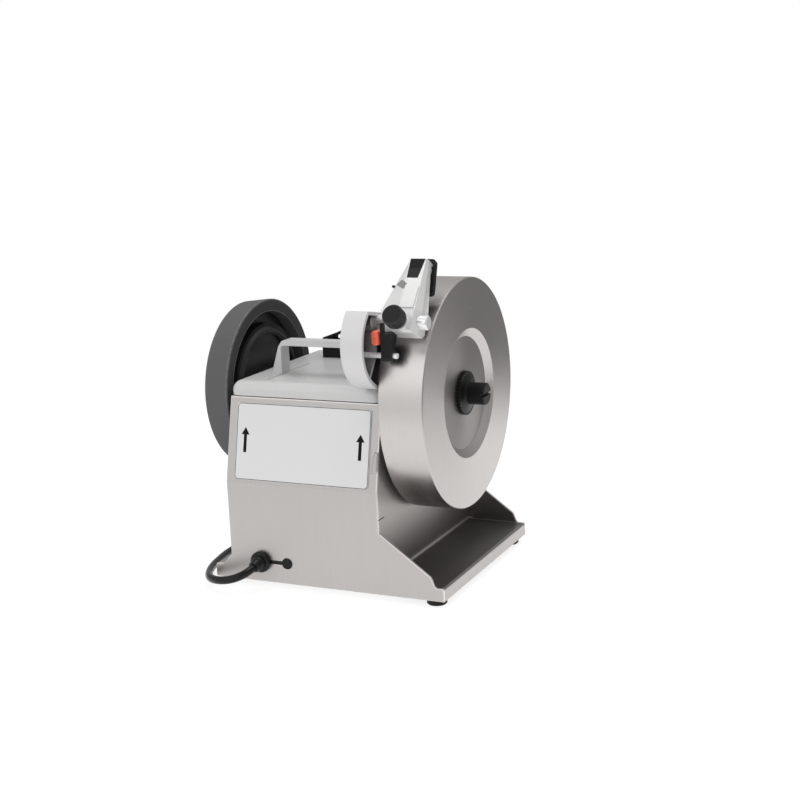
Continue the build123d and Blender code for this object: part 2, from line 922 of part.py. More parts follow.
def motor_winding():
    """Coil heads on both ends of the stack."""
    heads = Part()
    for x, way in ((stack_left_x, -1), (stack_right_x, 1)):
        end_x = x + way * winding_length
        heads += rod_x(winding_r, x, end_x, 0, motor_z) - rod_x(winding_inner_r, x, end_x, 0, motor_z)
    return heads


def rotor_core():
    """Rotor on the motor shaft."""
    core = rod_x(rotor_r, stack_left_x, stack_right_x, 0, motor_z)
    return core - rod_x(motor_shaft_r + press_gap, stack_left_x - 1, stack_right_x + 1, 0, motor_z)


def motor_shaft():
    """Motor shaft with a thinner left end for the drive roller."""
    neck_x = left_x - motor_head
    right_x = cap_right_end_x + fan_side_gap + fan_width
    shaft = rod_x(motor_shaft_r, neck_x, right_x, 0, motor_z)
    return shaft + rod_x(roller_bore_r, web_x + roller_end_gap, neck_x, 0, motor_z)


def drive_roller():
    """Steel roller that runs on the friction ring."""
    x0, x1 = web_x + roller_end_gap, left_x - motor_head
    roller = rod_x(roller_r, x0, x1, 0, motor_z)
    return roller - rod_x(roller_bore_r + press_gap, x0 - 1, x1 + 1, 0, motor_z)


def cooling_fan():
    """Fan with straight blades on the right end of the motor shaft."""
    x0 = cap_right_end_x + fan_side_gap
    x1 = x0 + fan_width
    fan = rod_x(fan_hub_r, x0, x1, 0, motor_z)
    blade = block(x0 + 1, x1, -fan_blade_thick / 2, fan_blade_thick / 2, fan_hub_r - 1, fan_r)
    for count in range(fan_blades):
        fan += Pos(0, 0, motor_z) * Rot(360 * count / fan_blades, 0, 0) * blade
    return fan - rod_x(motor_shaft_r + press_gap, x0 - 1, x1 + 1, 0, motor_z)


def capacitor_axis_z():
    """Height of the capacitor's axis above the floor."""
    return cover_z + cover_thick + clip_wall + press_gap + capacitor_r


def run_capacitor():
    """Capacitor beside the motor, with its two tags."""
    z = capacitor_axis_z()
    x0 = capacitor_x - capacitor_length / 2
    x1 = capacitor_x + capacitor_length / 2
    body = rod_x(capacitor_r, x0, x1, capacitor_y, z)
    body = fillet(body.edges().filter_by(GeomType.CIRCLE), capacitor_round)
    thin, wide = tag_thick / 2, tag_width / 2
    for side in (-1, 1):
        y = capacitor_y + side * tag_side
        body += block(x1 - 1, x1 + tag_length, y - thin, y + thin, z - wide, z + wide)
    return body


def capacitor_clip():
    """Band clip that holds the capacitor on the bottom cover."""
    z = capacitor_axis_z()
    low_z = cover_z + cover_thick
    outer_r = capacitor_r + press_gap + clip_wall
    x0, x1 = capacitor_x - clip_width / 2, capacitor_x + clip_width / 2
    clip = rod_x(outer_r, x0, x1, capacitor_y, z)
    clip += block(x0, x1, capacitor_y - clip_foot, capacitor_y + clip_foot, low_z, low_z + clip_wall + 3)
    return clip - rod_x(capacitor_r + press_gap, x0 - 1, x1 + 1, capacitor_y, z)


def terminal_block():
    """Connection block for the mains lead and the motor."""
    low_z = cover_z + cover_thick
    high_z = low_z + block_height
    x0, x1 = block_x - block_length / 2, block_x + block_length / 2
    y0, y1 = block_y - block_depth / 2, block_y + block_depth / 2
    body = block(x0, x1, y0, y1, low_z, high_z)
    pitch = block_length / block_ways
    for count in range(block_ways):
        x = x0 + pitch * (count + 0.5)
        body -= rod_y(pitch * 0.25, y0 - 1, y1 + 1, x, low_z + block_height * 0.4)
        body -= rod_z(pitch * 0.25, low_z + block_height * 0.8, high_z + 1, x, block_y)
    return body


def paddle_axis():
    """Place of the switch paddle's hinge, as x and z."""
    return switch_x + paddle_barrel_r + 1.0, lid_top_z + switch_height + paddle_barrel_r + paddle_side_gap


def switch_box():
    """Switch housing on the lid, with two ears for the paddle."""
    x, z = paddle_axis()
    rear_y = switch_y + switch_depth
    high_z = lid_top_z + switch_height
    box = block(switch_x, switch_x + switch_width, switch_y, rear_y, lid_top_z, high_z)
    box = fillet(box.edges().filter_by(Axis.Z), 2.0)
    for y0 in (switch_y, rear_y - paddle_ear):
        y1 = y0 + paddle_ear
        box += block(x - paddle_barrel_r, x + paddle_barrel_r, y0, y1, high_z - 3, z)
        box += rod_y(paddle_barrel_r, y0, y1, x, z)
    return box - rod_y(paddle_pin_r + run_gap, switch_y - 1, rear_y + 1, x, z)


def switch_paddle():
    """Sloping paddle on a barrel with two stub pins."""
    x, z = paddle_axis()
    y0 = switch_y + paddle_ear + paddle_side_gap
    y1 = switch_y + switch_depth - paddle_ear - paddle_side_gap
    plate = block(0, switch_width - paddle_barrel_r - 1, y0, y1, -paddle_thick / 2, paddle_thick / 2)
    paddle = Pos(x, 0, z) * Rot(0, -paddle_angle, 0) * plate
    paddle += rod_y(paddle_barrel_r, y0, y1, x, z)
    return paddle + rod_y(paddle_pin_r, switch_y + 0.5, switch_y + switch_depth - 0.5, x, z)


def foot_places():
    """Places of the four feet."""
    return [(x, y) for x in (foot_left_x, foot_right_x) for y in (-foot_y, foot_y)]


def rubber_feet():
    """Four rubber feet with a well for the screw head."""
    high_z = tray_floor_z - sheet
    feet = Part()
    for x, y in foot_places():
        foot = rod_z(foot_r, 0, high_z, x, y)
        foot = chamfer(foot.edges().filter_by(GeomType.CIRCLE).sort_by(Axis.Z)[0], 1.0)
        foot -= rod_z(foot_head_r + 0.5, -1, foot_well, x, y)
        feet += foot - rod_z(foot_screw_r + press_gap, -1, high_z + 1, x, y)
    return feet


def foot_screws():
    """Four screws that hold the feet; their points end under the sheet."""
    screws = Part()
    for x, y in foot_places():
        screws += rod_z(foot_head_r, foot_well - foot_head, foot_well, x, y)
        screws += rod_z(foot_screw_r, foot_well, tray_floor_z - sheet, x, y)
    return screws


def arm_screw_places():
    """Places of the two screws through the lid into the arm's foot."""
    x = (arm_left_x + min(arm_right_x, -lid_wall)) / 2
    y = (arm_foot_front_y + arm_foot_rear_y) / 2
    return [(x, y - arm_screw_spacing / 2), (x, y + arm_screw_spacing / 2)]


def arm_screws():
    """Two screws from inside the lid."""
    low_z = lid_top_z - lid_skin
    screws = Part()
    for x, y in arm_screw_places():
        screws += rod_z(arm_head_r, low_z - arm_head, low_z, x, y)
        screws += rod_z(arm_screw_r, low_z, low_z + arm_screw_length, x, y)
    return screws


def arm_face(inset):
    """Arm seen from the side at an inset: round nose and belly, sloping top, rear strut and foot."""
    radius = arm_round_r - inset
    top_z = arm_top_z - inset
    foot_z = lid_top_z + inset
    nose = math.sqrt(radius**2 - (top_z - arm_centre_z) ** 2)
    front_foot_y = arm_foot_front_y + inset
    belly_z = arm_centre_z - math.sqrt(radius**2 - (front_foot_y - arm_centre_y) ** 2)
    rear_foot_y = arm_foot_rear_y - inset
    top_rear_y = arm_top_rear_y - inset * 1.4
    start = (arm_centre_y - nose, top_z)
    belly = (front_foot_y, belly_z)
    curve = ThreePointArc(start, (arm_centre_y - radius, arm_centre_z), belly)
    rest = Polyline(
        belly,
        (front_foot_y, foot_z),
        (rear_foot_y, foot_z),
        (rear_foot_y, foot_z + arm_foot_rise - inset),
        (top_rear_y, top_z - arm_top_fall),
        start,
    )
    return make_face(curve + rest)


def arm_rib_plate(start, end):
    """Rib inside the arm between two points of y and z from its centre."""
    run = math.hypot(end[0] - start[0], end[1] - start[1])
    turn = math.degrees(math.atan2(end[1] - start[1], end[0] - start[0]))
    rib = block(arm_left_x, arm_right_x - arm_rib_inset, 0, run, -arm_rib / 2, arm_rib / 2)
    return Pos(0, arm_centre_y + start[0], arm_centre_z + start[1]) * Rot(turn, 0, 0) * rib


def guide_arm():
    """Hollow casting, open to the right and ribbed, with a boss for the bar and a slot for the pin."""
    web_x1 = arm_left_x + arm_wall
    shell = plate_x(arm_face(0.0), arm_left_x, arm_right_x)
    pocket = plate_x(arm_face(arm_wall), web_x1, arm_right_x + 1)
    arm = shell - pocket
    for start, end in arm_ribs:
        arm += arm_rib_plate(start, end) & shell
    arm += rod_x(bar_r + bar_boss_wall, arm_left_x, bar_boss_end_x, bar_y, bar_z)
    (foot_x, foot_y0), (foot_x, foot_y1) = arm_screw_places()
    half = arm_head_r + 1
    foot_z = lid_top_z - lid_skin + arm_screw_length + 2
    arm += block(foot_x - half, foot_x + half, foot_y0 - half, foot_y1 + half, lid_top_z, foot_z)
    for x, y in arm_screw_places():
        arm -= rod_z(arm_screw_r + press_gap, lid_top_z - 1, foot_z - 1.7, x, y)
    arm -= rod_x(bar_r + press_gap, web_x1, arm_right_x + 1, bar_y, bar_z)
    reach = math.hypot(pin_y - bar_y, pin_z - bar_z)
    slot_r = pin_r + pin_slot_gap
    slot = SlotOverall(reach * math.radians(tilt_range) + 2 * slot_r, 2 * slot_r)
    middle = math.atan2(pin_z - bar_z, pin_y - bar_y) + math.radians(tilt_range / 2)
    slot_y = bar_y + reach * math.cos(middle)
    slot_z = bar_z + reach * math.sin(middle)
    cut = Rot(math.degrees(middle) + 90, 0, 0) * plate_x(slot, arm_left_x - 1, web_x1 + 1)
    return arm - Pos(0, slot_y, slot_z) * cut


def support_bar():
    """Chrome bar pressed into the arm."""
    bar = rod_x(bar_r, arm_left_x + arm_wall, bar_end_x, bar_y, bar_z)
    return chamfer(bar.edges().filter_by(GeomType.CIRCLE).sort_by(Axis.X)[-1], bar_chamfer)


def guide_section(left, right, flat_left, flat_right, front, facet):
    """Six-sided section of the guide: widths of sides and front flat from its middle, front and facets."""
    points = [
        (-left, guide_rear),
        (-left, front + facet),
        (-flat_left, front),
        (flat_right, front),
        (right, front + facet),
        (right, guide_rear),
    ]
    return outline([(guide_mid_x + x, y) for x, y in points])


def guide_low_section():
    """Section of the guide's base."""
    return guide_section(
        guide_left_half, guide_right_half, guide_flat_left, guide_flat_right, guide_front, guide_low_facet
    )


def guide_top_section():
    """Section of the tower's top."""
    return guide_section(
        guide_top_half, guide_top_half, guide_top_flat, guide_top_flat, guide_top_front, guide_top_facet
    )


def tower():
    """Faceted tower of the guide between its shoulder and its top."""
    low = Plane.XY.offset(guide_shoulder_z) * guide_low_section()
    return loft([low, Plane.XY.offset(guide_top_z) * guide_top_section()], ruled=True)


def guide_base():
    """Base of the guide, with a rounded front toe and a bevelled rear one."""
    side = outline(
        [
            (guide_front, guide_low_z),
            (guide_rear - guide_toe, guide_low_z),
            (guide_rear, guide_low_z + guide_toe),
            (guide_rear, guide_shoulder_z),
            (guide_front, guide_shoulder_z),
        ],
        [(0, 3.0)],
    )
    return plate_x(side, guide_left_x, guide_right_x) & plate_z(
        guide_low_section(), guide_low_z, guide_shoulder_z
    )


def front_slope(lz):
    """Front face of the tower at a height."""
    share = (lz - guide_shoulder_z) / (guide_top_z - guide_shoulder_z)
    return guide_front + share * (guide_top_front - guide_front)


def raised_panel():
    """Raised six-sided panel on the tower's front."""
    low_z = guide_shoulder_z + panel_shoulder_gap
    high_z = window_z - panel_end_gap
    rows = (
        (low_z, panel_low_left, panel_low_right),
        (high_z - panel_bend_drop, panel_middle_left, panel_middle_right),
        (high_z, panel_top_left, panel_top_right),
    )
    sections = []
    for lz, left, right in rows:
        y0 = front_slope(lz) - panel_raise
        y1 = front_slope(lz) + 2 * panel_raise
        x0, x1 = guide_mid_x - left, guide_mid_x + right
        sections.append(Plane.XY.offset(lz) * outline([(x0, y0), (x1, y0), (x1, y1), (x0, y1)]))
    return loft(sections, ruled=True)


def window():
    """Tapered opening through the top of the tower that holds the front cushion."""
    over = 5.0
    spread = window_top_half + over * (window_top_half - window_low_half) / (guide_top_z - window_z)
    face = outline(
        [
            (guide_mid_x - window_low_half, window_z),
            (guide_mid_x + window_low_half, window_z),
            (guide_mid_x + spread, guide_top_z + over),
            (guide_mid_x - spread, guide_top_z + over),
        ]
    )
    return plate_y(face, guide_front - over, guide_rear + over)


def jaw_ears():
    """Two ears behind the tower's top that hold the jaw's pin."""
    ears = Part()
    for x0, x1 in ((top_left_x, window_left_x), (window_right_x, top_right_x)):
        ear = block(x0, x1, guide_rear - 1, jaw_pin_y, jaw_pin_z - ear_r, jaw_pin_z + ear_r)
        ears += ear + rod_x(ear_r, x0, x1, jaw_pin_y, jaw_pin_z)
    return ears


def guide_body():
    """Cast guide: base with the bar's bore and the knob's boss, faceted tower and ears for the jaw."""
    body = guide_base() + tower() + raised_panel() - window() + jaw_ears()
    body += rod_y(knob_boss_r, guide_front - knob_boss, 0, knob_x, knob_z)
    body -= rod_x(bar_r + guide_bore_gap, guide_left_x - 1, guide_right_x + 1)
    body -= rod_y(knob_stem_r + run_gap, guide_front - knob_boss - 1, 0, knob_x, knob_z)
    return body - rod_x(jaw_pin_r + press_gap, top_left_x - 1, top_right_x + 1, jaw_pin_y, jaw_pin_z)


def front_cushion():
    """Rubber block in the tower's window, proud on the blade side."""
    cushion = tower() & window()
    proud = block(
        guide_mid_x - window_low_half,
        guide_mid_x + window_low_half,
        guide_rear - 1,
        guide_rear + cushion_proud,
        window_z,
        window_z + cushion_proud_height,
    )
    return cushion + proud


def jaw_pad_y():
    """Front face of the rear cushion."""
    return guide_rear + cushion_proud + slot_gap


def jaw_plate(inset, y0, y1):
    """Tapered plate behind the blade slot at an inset from its outline, with a hole for the hinge's ears."""
    high_z = guide_top_z + jaw_rise
    slope = (jaw_low_half - jaw_top_half) / (high_z - jaw_low_z)
    low = jaw_low_half - inset
    top = jaw_top_half - inset + slope * inset
    points = [(-low, jaw_low_z + inset), (low, jaw_low_z + inset), (top, high_z - inset), (-top, high_z - inset)]
    rounds = [(0, jaw_low_round), (1, jaw_low_round), (2, jaw_top_round), (3, jaw_top_round)]
    plate = plate_y(outline([(guide_mid_x + x, z) for x, z in points], rounds), y0, y1)
    half = guide_top_half + jaw_notch_gap
    hole_low, hole_high = guide_top_z - jaw_notch_drop, guide_top_z + jaw_hole_gap
    return plate - block(guide_mid_x - half, guide_mid_x + half, y0 - 1, y1 + 1, hole_low, hole_high)


def rear_jaw():
    """Plate behind the blade slot, hung on its knuckle."""
    y0 = jaw_pad_y() + jaw_pad
    y1 = y0 + jaw_thick
    knuckle_x0 = window_left_x + spring_room
    knuckle_x1 = window_right_x - 0.4
    neck_z = guide_top_z - jaw_notch_drop - 1
    jaw = jaw_plate(jaw_inset, y0, y1)
    jaw += rod_x(knuckle_r, knuckle_x0, knuckle_x1, jaw_pin_y, jaw_pin_z)
    jaw += block(knuckle_x0, knuckle_x1, jaw_pin_y, y1, jaw_pin_z - 1, jaw_pin_z + knuckle_r - 1)
    jaw += block(knuckle_x0, knuckle_x1, y0, y1, neck_z, jaw_pin_z + knuckle_r - 1)
    return jaw - rod_x(jaw_pin_r + run_gap, knuckle_x0 - 1, knuckle_x1 + 1, jaw_pin_y, jaw_pin_z)


def rear_cushion():
    """Rubber plate on the jaw's front face."""
    y0 = jaw_pad_y()
    return jaw_plate(0.0, y0, y0 + jaw_pad)


def jaw_pin():
    """Hinge pin of the rear jaw."""
    return rod_x(jaw_pin_r, top_left_x, top_right_x, jaw_pin_y, jaw_pin_z)


def spring_path():
    """Winding of the jaw's spring about the z axis, with a straight leg at each end."""
    halves = int(2 * spring_turns)
    stations = [(spring_r, spring_pitch * count / 2) for count in range(halves + 1)]
    arcs = half_turns(stations)
    first = Line(arcs[0] @ 0 - (arcs[0] % 0) * spring_leg, arcs[0] @ 0)
    last = Line(arcs[-1] @ 1, arcs[-1] @ 1 + (arcs[-1] % 1) * spring_leg)
    return Wire([first.edge()] + [arc.edge() for arc in arcs] + [last.edge()])


def jaw_spring():
    """Torsion spring round the jaw's pin."""
    path = spring_path()
    gap = least_gap(path, spring_wire_r, 2 * math.pi * spring_r * 0.6)
    print("jaw spring: least gap to itself", round(gap, 3))
    start_x = window_left_x + spring_wire_r + spring_side_gap
    return Pos(start_x, jaw_pin_y, jaw_pin_z) * Rot(90, 0, 0) * Rot(0, 90, 0) * tube(path, spring_wire_r)


def clamp_knob():
    """Knurled knob with its screw, along the blade's normal."""
    stem_front = guide_front - knob_boss - knob_gap
    body_rear = stem_front - knob_neck
    body_front = body_rear - knob_length
    tip = -bar_r - knob_tip_gap
    body = rod_y(knob_r, body_front, body_rear, knob_x, knob_z)
    body = chamfer(body.edges().filter_by(GeomType.CIRCLE), 0.8)
    for count in range(knob_teeth):
        turn = 2 * math.pi * count / knob_teeth
        x = knob_x + knob_r * math.cos(turn)
        z = knob_z + knob_r * math.sin(turn)
        body -= rod_y(knob_tooth_r, body_front - 1, body_rear + 1, x, z)
    body += rod_y(knob_neck_r, body_rear, stem_front, knob_x, knob_z)
    return body + rod_y(knob_stem_r, stem_front, tip, knob_x, knob_z)


def guide_place(ly, lz):
    """Point of the guide's frame as y and z of the machine."""
    turn = math.radians(blade_lean)
    y = bar_y + ly * math.cos(turn) + lz * math.sin(turn)
    z = bar_z - ly * math.sin(turn) + lz * math.cos(turn)
    return y, z


def button_x():
    """Middle of the release button and its lug."""
    return bracket_x - button_width / 2 - button_side_gap / 2


def tilt_bracket():
    """Bracket under the guide: block for the index pin, a thumb fin, and a lug for the release button."""
    x0, x1 = bracket_x, bracket_x + bracket_width
    front_top = guide_place(guide_front + bracket_top_inset, guide_low_z)
    rear_top = guide_place(0, guide_low_z)
    section = outline(
        [
            (bracket_front_y, bracket_low_z),
            (bracket_rear_y, bracket_low_z),
            (bracket_rear_y, lug_low_z),
            rear_top,
            front_top,
            (bracket_front_y, front_top[1]),
        ],
        [(0, bracket_low_round), (1, bracket_low_round)],
    )
    bracket = plate_x(section, x0, x1)
    fin_y, fin_z = bracket_front_y, front_top[1]
    bracket += block(x0, x0 + fin_width, fin_y, fin_y + fin_depth, fin_z - 2, fin_z + fin_rise)
    x = button_x()
    bracket += block(x - button_width / 2, x0 + 1, lug_front_y, lug_rear_y, lug_low_z, lug_high_z)
    bracket -= rod_y(button_stem_r + run_gap, lug_front_y - 1, lug_rear_y + 1, x, button_stem_z)
    bracket -= rod_x(pin_r + press_gap, x0 - 1, x1 + 1, pin_y, pin_z)
    return bracket - guide_frame * guide_base()


def index_pin():
    """Bright pin through the bracket, whose left end rides in the arm's slot."""
    return rod_x(pin_r, arm_left_x + arm_wall / 2, bracket_x + bracket_width + pin_out, pin_y, pin_z)


def release_button():
    """Red push button with its stem."""
    x = button_x()
    y1 = lug_front_y - button_travel - 0.5
    y0 = y1 - button_depth
    half_w = button_width / 2 - button_side_gap / 2
    half_h = button_height / 2
    cap = block(x - half_w, x + half_w, y0, y1, button_z - half_h, button_z + half_h)
    cap = fillet(cap.edges().filter_by(Axis.Y), button_round)
    cap = fillet(cap.faces().sort_by(Axis.Y)[0].edges(), button_round * 0.6)
    return cap + rod_y(button_stem_r, y1, lug_rear_y - 0.5, x, button_stem_z)


def exit_direction():
    """Direction in which the lead leaves the gland: to the left and a little down."""
    turn, drop = math.radians(gland_turn), math.radians(gland_drop)
    return Vector(-math.sin(turn) * math.cos(drop), -math.cos(turn) * math.cos(drop), -math.sin(drop))


def gland_centre():
    """Point on the gland's axis, at the front of its flange."""
    return Vector(gland_x, -half_depth - gland_flange, gland_z)


def cord_gland():
    """Strain relief: flange, shank and nut in the panel, and a tapered nose that points along the lead."""
    front = -half_depth
    body = rod_y(gland_flange_r, front - gland_flange, front, gland_x, gland_z)
    body = fillet(body.edges().filter_by(GeomType.CIRCLE).sort_by(Axis.Y)[0], 2.0)
    body += rod_y(gland_shank_r, front, front + sheet, gland_x, gland_z)
    body += rod_y(gland_nut_r, front + sheet, front + sheet + gland_nut, gland_x, gland_z)
    nose_plane = Plane(gland_centre(), z_dir=exit_direction())
    body += Pos(*gland_centre()) * Sphere(gland_nose_r)
    nose = Pos(0, 0, gland_nose / 2) * Cone(gland_nose_r * 0.98, gland_tip_r, gland_nose)
    side = gland_nose + gland_flange + 2 * gland_flange_r
    room = Pos(gland_x, front - side, gland_z) * Box(2 * side, 2 * side, 2 * side)
    return body + (nose_plane.location * nose & room)


def keyhole_plug():
    """Plug in the round end of the keyhole, with the strip that fills its slot."""
    y0, y1 = -half_depth - keyhole_proud, -half_depth + sheet
    half = keyhole_slot / 2
    strip_x = gland_x + gland_flange_r + 0.3
    plug = rod_y(keyhole_r, y0, y1, keyhole_x, gland_z)
    return plug + block(strip_x, keyhole_x, y0 + keyhole_proud / 2, y1, gland_z - half, gland_z + half)


def coil_path():
    """Two layers of the coiled lead: in along the floor, up at the middle, and out again on top."""
    step = coil_pitch / 2
    climb_r = coil_inner_r - coil_climb_inset
    inward = [coil_outer_r - step * count for count in range(coil_halves)] + [climb_r]
    stations = [(radius, 0) for radius in inward] + [(radius, coil_layer) for radius in inward[::-1]]
    arcs = half_turns(stations)
    lead = 2 * cord_r
    first = Line(arcs[0] @ 0 - (arcs[0] % 0) * lead, arcs[0] @ 0)
    last = Line(arcs[-1] @ 1, arcs[-1] @ 1 + (arcs[-1] % 1) * lead)
    return Wire([first.edge()] + [arc.edge() for arc in arcs] + [last.edge()])


def cord_coil():
    """Unseen length of the lead, wound into a coil behind the machine."""
    path = coil_path()
    coil = tube(path, cord_r)
    share = coil.volume / (math.pi * cord_r**2 * path.length)
    print("coil: length", round(path.length, 1), "volume over section times length", round(share, 4))
    print("coil: least gap to itself", round(least_gap(path, cord_r, 90), 3))
    return Pos(coil_x, coil_y, coil_z) * coil


def cord_points():
    """Route of the free stretch from the gland's tip to the coil."""
    start = gland_centre() + exit_direction() * gland_nose
    end = Vector(coil_x - coil_outer_r, coil_y - 2 * cord_r, coil_z)
    first = start + exit_direction() * lead_first_run
    last = end - Vector(0, lead_last_run, 0)
    middle = [Vector(flange_x + x, -half_depth + y, cord_r + z) for x, y, z in route_front]
    middle += [Vector(flange_x + x, half_depth + y, cord_r + z) for x, y, z in route_rear]
    return [start, first] + middle + [last, end]


def power_cord():
    """Free stretch of the lead: straight runs joined by arcs as large as the runs allow."""
    points = cord_points()
    radii = []
    for before, here, after in zip(points, points[1:], points[2:]):
        turn = math.radians((here - before).get_angle(after - here))
        shorter = min((here - before).length, (after - here).length)
        radii.append(arc_share * shorter / math.tan(turn / 2))
    path = FilletPolyline(*points, radius=radii)
    cord = tube(path, cord_r)
    share = cord.volume / (math.pi * cord_r**2 * path.length)
    print("lead: bend radii", [round(radius) for radius in radii])
    print("lead: length", round(path.length, 1), "volume over section times length", round(share, 4))
    return cord


def cord_tie():
    """Band round all the turns of the coil."""
    inner_y0 = coil_y + coil_inner_r - coil_climb_inset - cord_r - tie_side_gap
    inner_y1 = coil_y + coil_outer_r + cord_r + tie_gap
    inner_z1 = coil_z + coil_layer + cord_r + tie_gap
    x0, x1 = coil_x - tie_width / 2, coil_x + tie_width / 2
    band = block(x0, x1, inner_y0 - tie_thick, inner_y1 + tie_thick, 0, inner_z1 + tie_thick)
    band = fillet(band.edges().filter_by(Axis.X), tie_thick)
    return band - block(x0 - 1, x1 + 1, inner_y0, inner_y1, tie_thick, inner_z1)


def plug_start():
    """Point where the lead enters the plug."""
    return Vector(coil_x + coil_outer_r, coil_y - 2 * cord_r, coil_z + coil_layer)


def mains_plug():
    """Plug body with its tapered boot."""
    start = plug_start()
    x0, x1 = start.X - plug_width / 2, start.X + plug_width / 2
    y1 = start.Y - boot_length
    boot = Rot(90, 0, 0) * Cone(boot_r, boot_end_r, boot_length)
    body = block(x0, x1, y1 - plug_length, y1, 0.0, 2 * start.Z)
    body = fillet(body.edges().filter_by(Axis.Y), plug_round)
    return body + Pos(start.X, start.Y - boot_length / 2, start.Z) * boot


def plug_pins():
    """Two flat blades and a round earth pin."""
    start = plug_start()
    y1 = start.Y - boot_length - plug_length
    y0 = y1 - blade_length
    half = blade_thick / 2
    pins = Part()
    for side in (-1, 1):
        x = start.X + side * blade_spacing / 2
        pins += block(x - half, x + half, y0, y1, start.Z - blade_width, start.Z)
    return pins + rod_y(earth_r, y0 - earth_longer, y1, start.X, start.Z + earth_rise)


machine = {
    "front_panel": front_panel(),
    "rear_panel": end_panel(),
    "right_wall": right_wall(),
    "left_wall": left_wall(),
    "bottom_cover": bottom_cover(),
    "bottom_screws": bottom_screws(),
    "top_casting": top_casting(),
    "name_plate": name_plate(),
    "rubber_feet": rubber_feet(),
    "foot_screws": foot_screws(),
    "shaft_bush_right": shaft_bush(0, 1),
    "shaft_bush_left": shaft_bush(left_x, -1),
    "main_shaft": main_shaft(),
    "wheel_collar": wheel_collar(),
    "grinding_wheel": grinding_wheel(),
    "wheel_lock_nut": wheel_lock_nut(),
    "honing_tyre": honing_tyre(),
    "drive_wheel": drive_wheel(),
    "friction_ring": friction_ring(),
    "honing_washer": honing_washer(),
    "honing_nut": honing_nut(),
    "motor_stator": motor_stator(),
    "motor_winding": motor_winding(),
    "motor_cap_left": motor_cap_left(),
    "motor_cap_right": motor_cap(stack_right_x, cap_right_end_x, 1),
    "motor_screws": motor_screws(),
    "rotor_core": rotor_core(),
    "motor_shaft": motor_shaft(),
    "drive_roller": drive_roller(),
    "cooling_fan": cooling_fan(),
    "run_capacitor": run_capacitor(),
    "capacitor_clip": capacitor_clip(),
    "terminal_block": terminal_block(),
    "switch_box": switch_box(),
    "switch_paddle": switch_paddle(),
    "guide_arm": guide_arm(),
    "arm_screws": arm_screws(),
    "support_bar": support_bar(),
    "guide_body": guide_frame * guide_body(),
    "front_cushion": guide_frame * front_cushion(),
    "rear_jaw": guide_frame * rear_jaw(),
    "rear_cushion": guide_frame * rear_cushion(),
    "jaw_pin": guide_frame * jaw_pin(),
    "jaw_spring": guide_frame * jaw_spring(),
    "clamp_knob": guide_frame * clamp_knob(),
    "tilt_bracket": tilt_bracket(),
    "index_pin": index_pin(),
    "release_button": release_button(),
    "cord_gland": cord_gland(),
    "keyhole_plug": keyhole_plug(),
}
lead = {
    "power_cord": power_cord(),
    "cord_coil": cord_coil(),
    "cord_tie": cord_tie(),
    "mains_plug": mains_plug(),
    "plug_pins": plug_pins(),
}

# The origin is on the floor, at the middle of the machine without its lead
reach = Compound(children=[Compound(list(piece.solids())) for piece in machine.values()]).bounding_box()
to_origin = Pos(-reach.center().X, -reach.center().Y, 0)
print("origin moved by", round(-reach.center().X, 3), round(-reach.center().Y, 3), "size", reach.size)

os.makedirs("parts", exist_ok=True)
for name, piece in (machine | lead).items():
    export_step(to_origin * piece, f"parts/{name}.step")
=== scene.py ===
"""Looks of a knife grinding machine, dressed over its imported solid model.

Lengths are in millimetres in the machine's own drawing frame (x along the shaft from the housing wall
beside the grinding wheel, y to the rear from the shaft axis, z up) and become metres of the shared frame.
"""

import json
import logging
import math
from dataclasses import dataclass
from enum import Enum
from typing import Iterable, Optional

import bpy
import numpy as np
from mathutils import Matrix, Vector


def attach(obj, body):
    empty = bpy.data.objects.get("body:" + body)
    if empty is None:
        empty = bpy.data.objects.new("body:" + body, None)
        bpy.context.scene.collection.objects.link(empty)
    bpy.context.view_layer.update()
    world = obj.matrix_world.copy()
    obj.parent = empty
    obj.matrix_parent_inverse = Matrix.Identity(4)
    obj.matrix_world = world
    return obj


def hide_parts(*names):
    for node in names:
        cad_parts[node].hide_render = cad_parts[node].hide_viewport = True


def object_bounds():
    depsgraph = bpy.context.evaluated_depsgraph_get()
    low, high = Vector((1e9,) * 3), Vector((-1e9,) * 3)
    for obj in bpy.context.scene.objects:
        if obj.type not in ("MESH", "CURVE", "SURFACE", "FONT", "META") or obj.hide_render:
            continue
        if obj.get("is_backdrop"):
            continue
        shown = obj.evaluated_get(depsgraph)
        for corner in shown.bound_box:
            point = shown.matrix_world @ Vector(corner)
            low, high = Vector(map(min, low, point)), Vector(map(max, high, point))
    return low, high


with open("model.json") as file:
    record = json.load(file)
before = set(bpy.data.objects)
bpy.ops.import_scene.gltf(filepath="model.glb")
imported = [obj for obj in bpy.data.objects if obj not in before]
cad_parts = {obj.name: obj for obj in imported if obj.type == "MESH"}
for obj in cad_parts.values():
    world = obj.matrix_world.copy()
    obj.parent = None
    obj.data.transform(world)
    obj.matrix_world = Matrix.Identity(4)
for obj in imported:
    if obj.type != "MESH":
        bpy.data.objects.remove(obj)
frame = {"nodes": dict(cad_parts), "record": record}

log = logging.getLogger("machine")

Colour = tuple[float, float, float]
Point = tuple[float, float, float]
Range = tuple[float, float]
Socket = bpy.types.NodeSocket

MM = 1000.0
UNIT: Point = (1.0, 1.0, 1.0)
ORIGIN: Point = (0.0, 0.0, 0.0)
RISING: Range = (0.0, 1.0)
FALLING: Range = (1.0, 0.0)
SHIFT = np.array([56.85, 9.0, 0.0])
SHAFT_AXIS: Point = (0.0, 0.009, 0.161)
STAINLESS: Colour = (0.50, 0.475, 0.46)


def shared(points: np.ndarray) -> np.ndarray:
    """Points of the drawing frame, in millimetres, as metres of the shared frame."""
    return (np.asarray(points, float) + SHIFT) / MM


def between(start: np.ndarray, end: np.ndarray, share: np.ndarray) -> np.ndarray:
    """Straight line from a start at share 0 to an end at share 1."""
    return start * (1.0 - share) + end * share


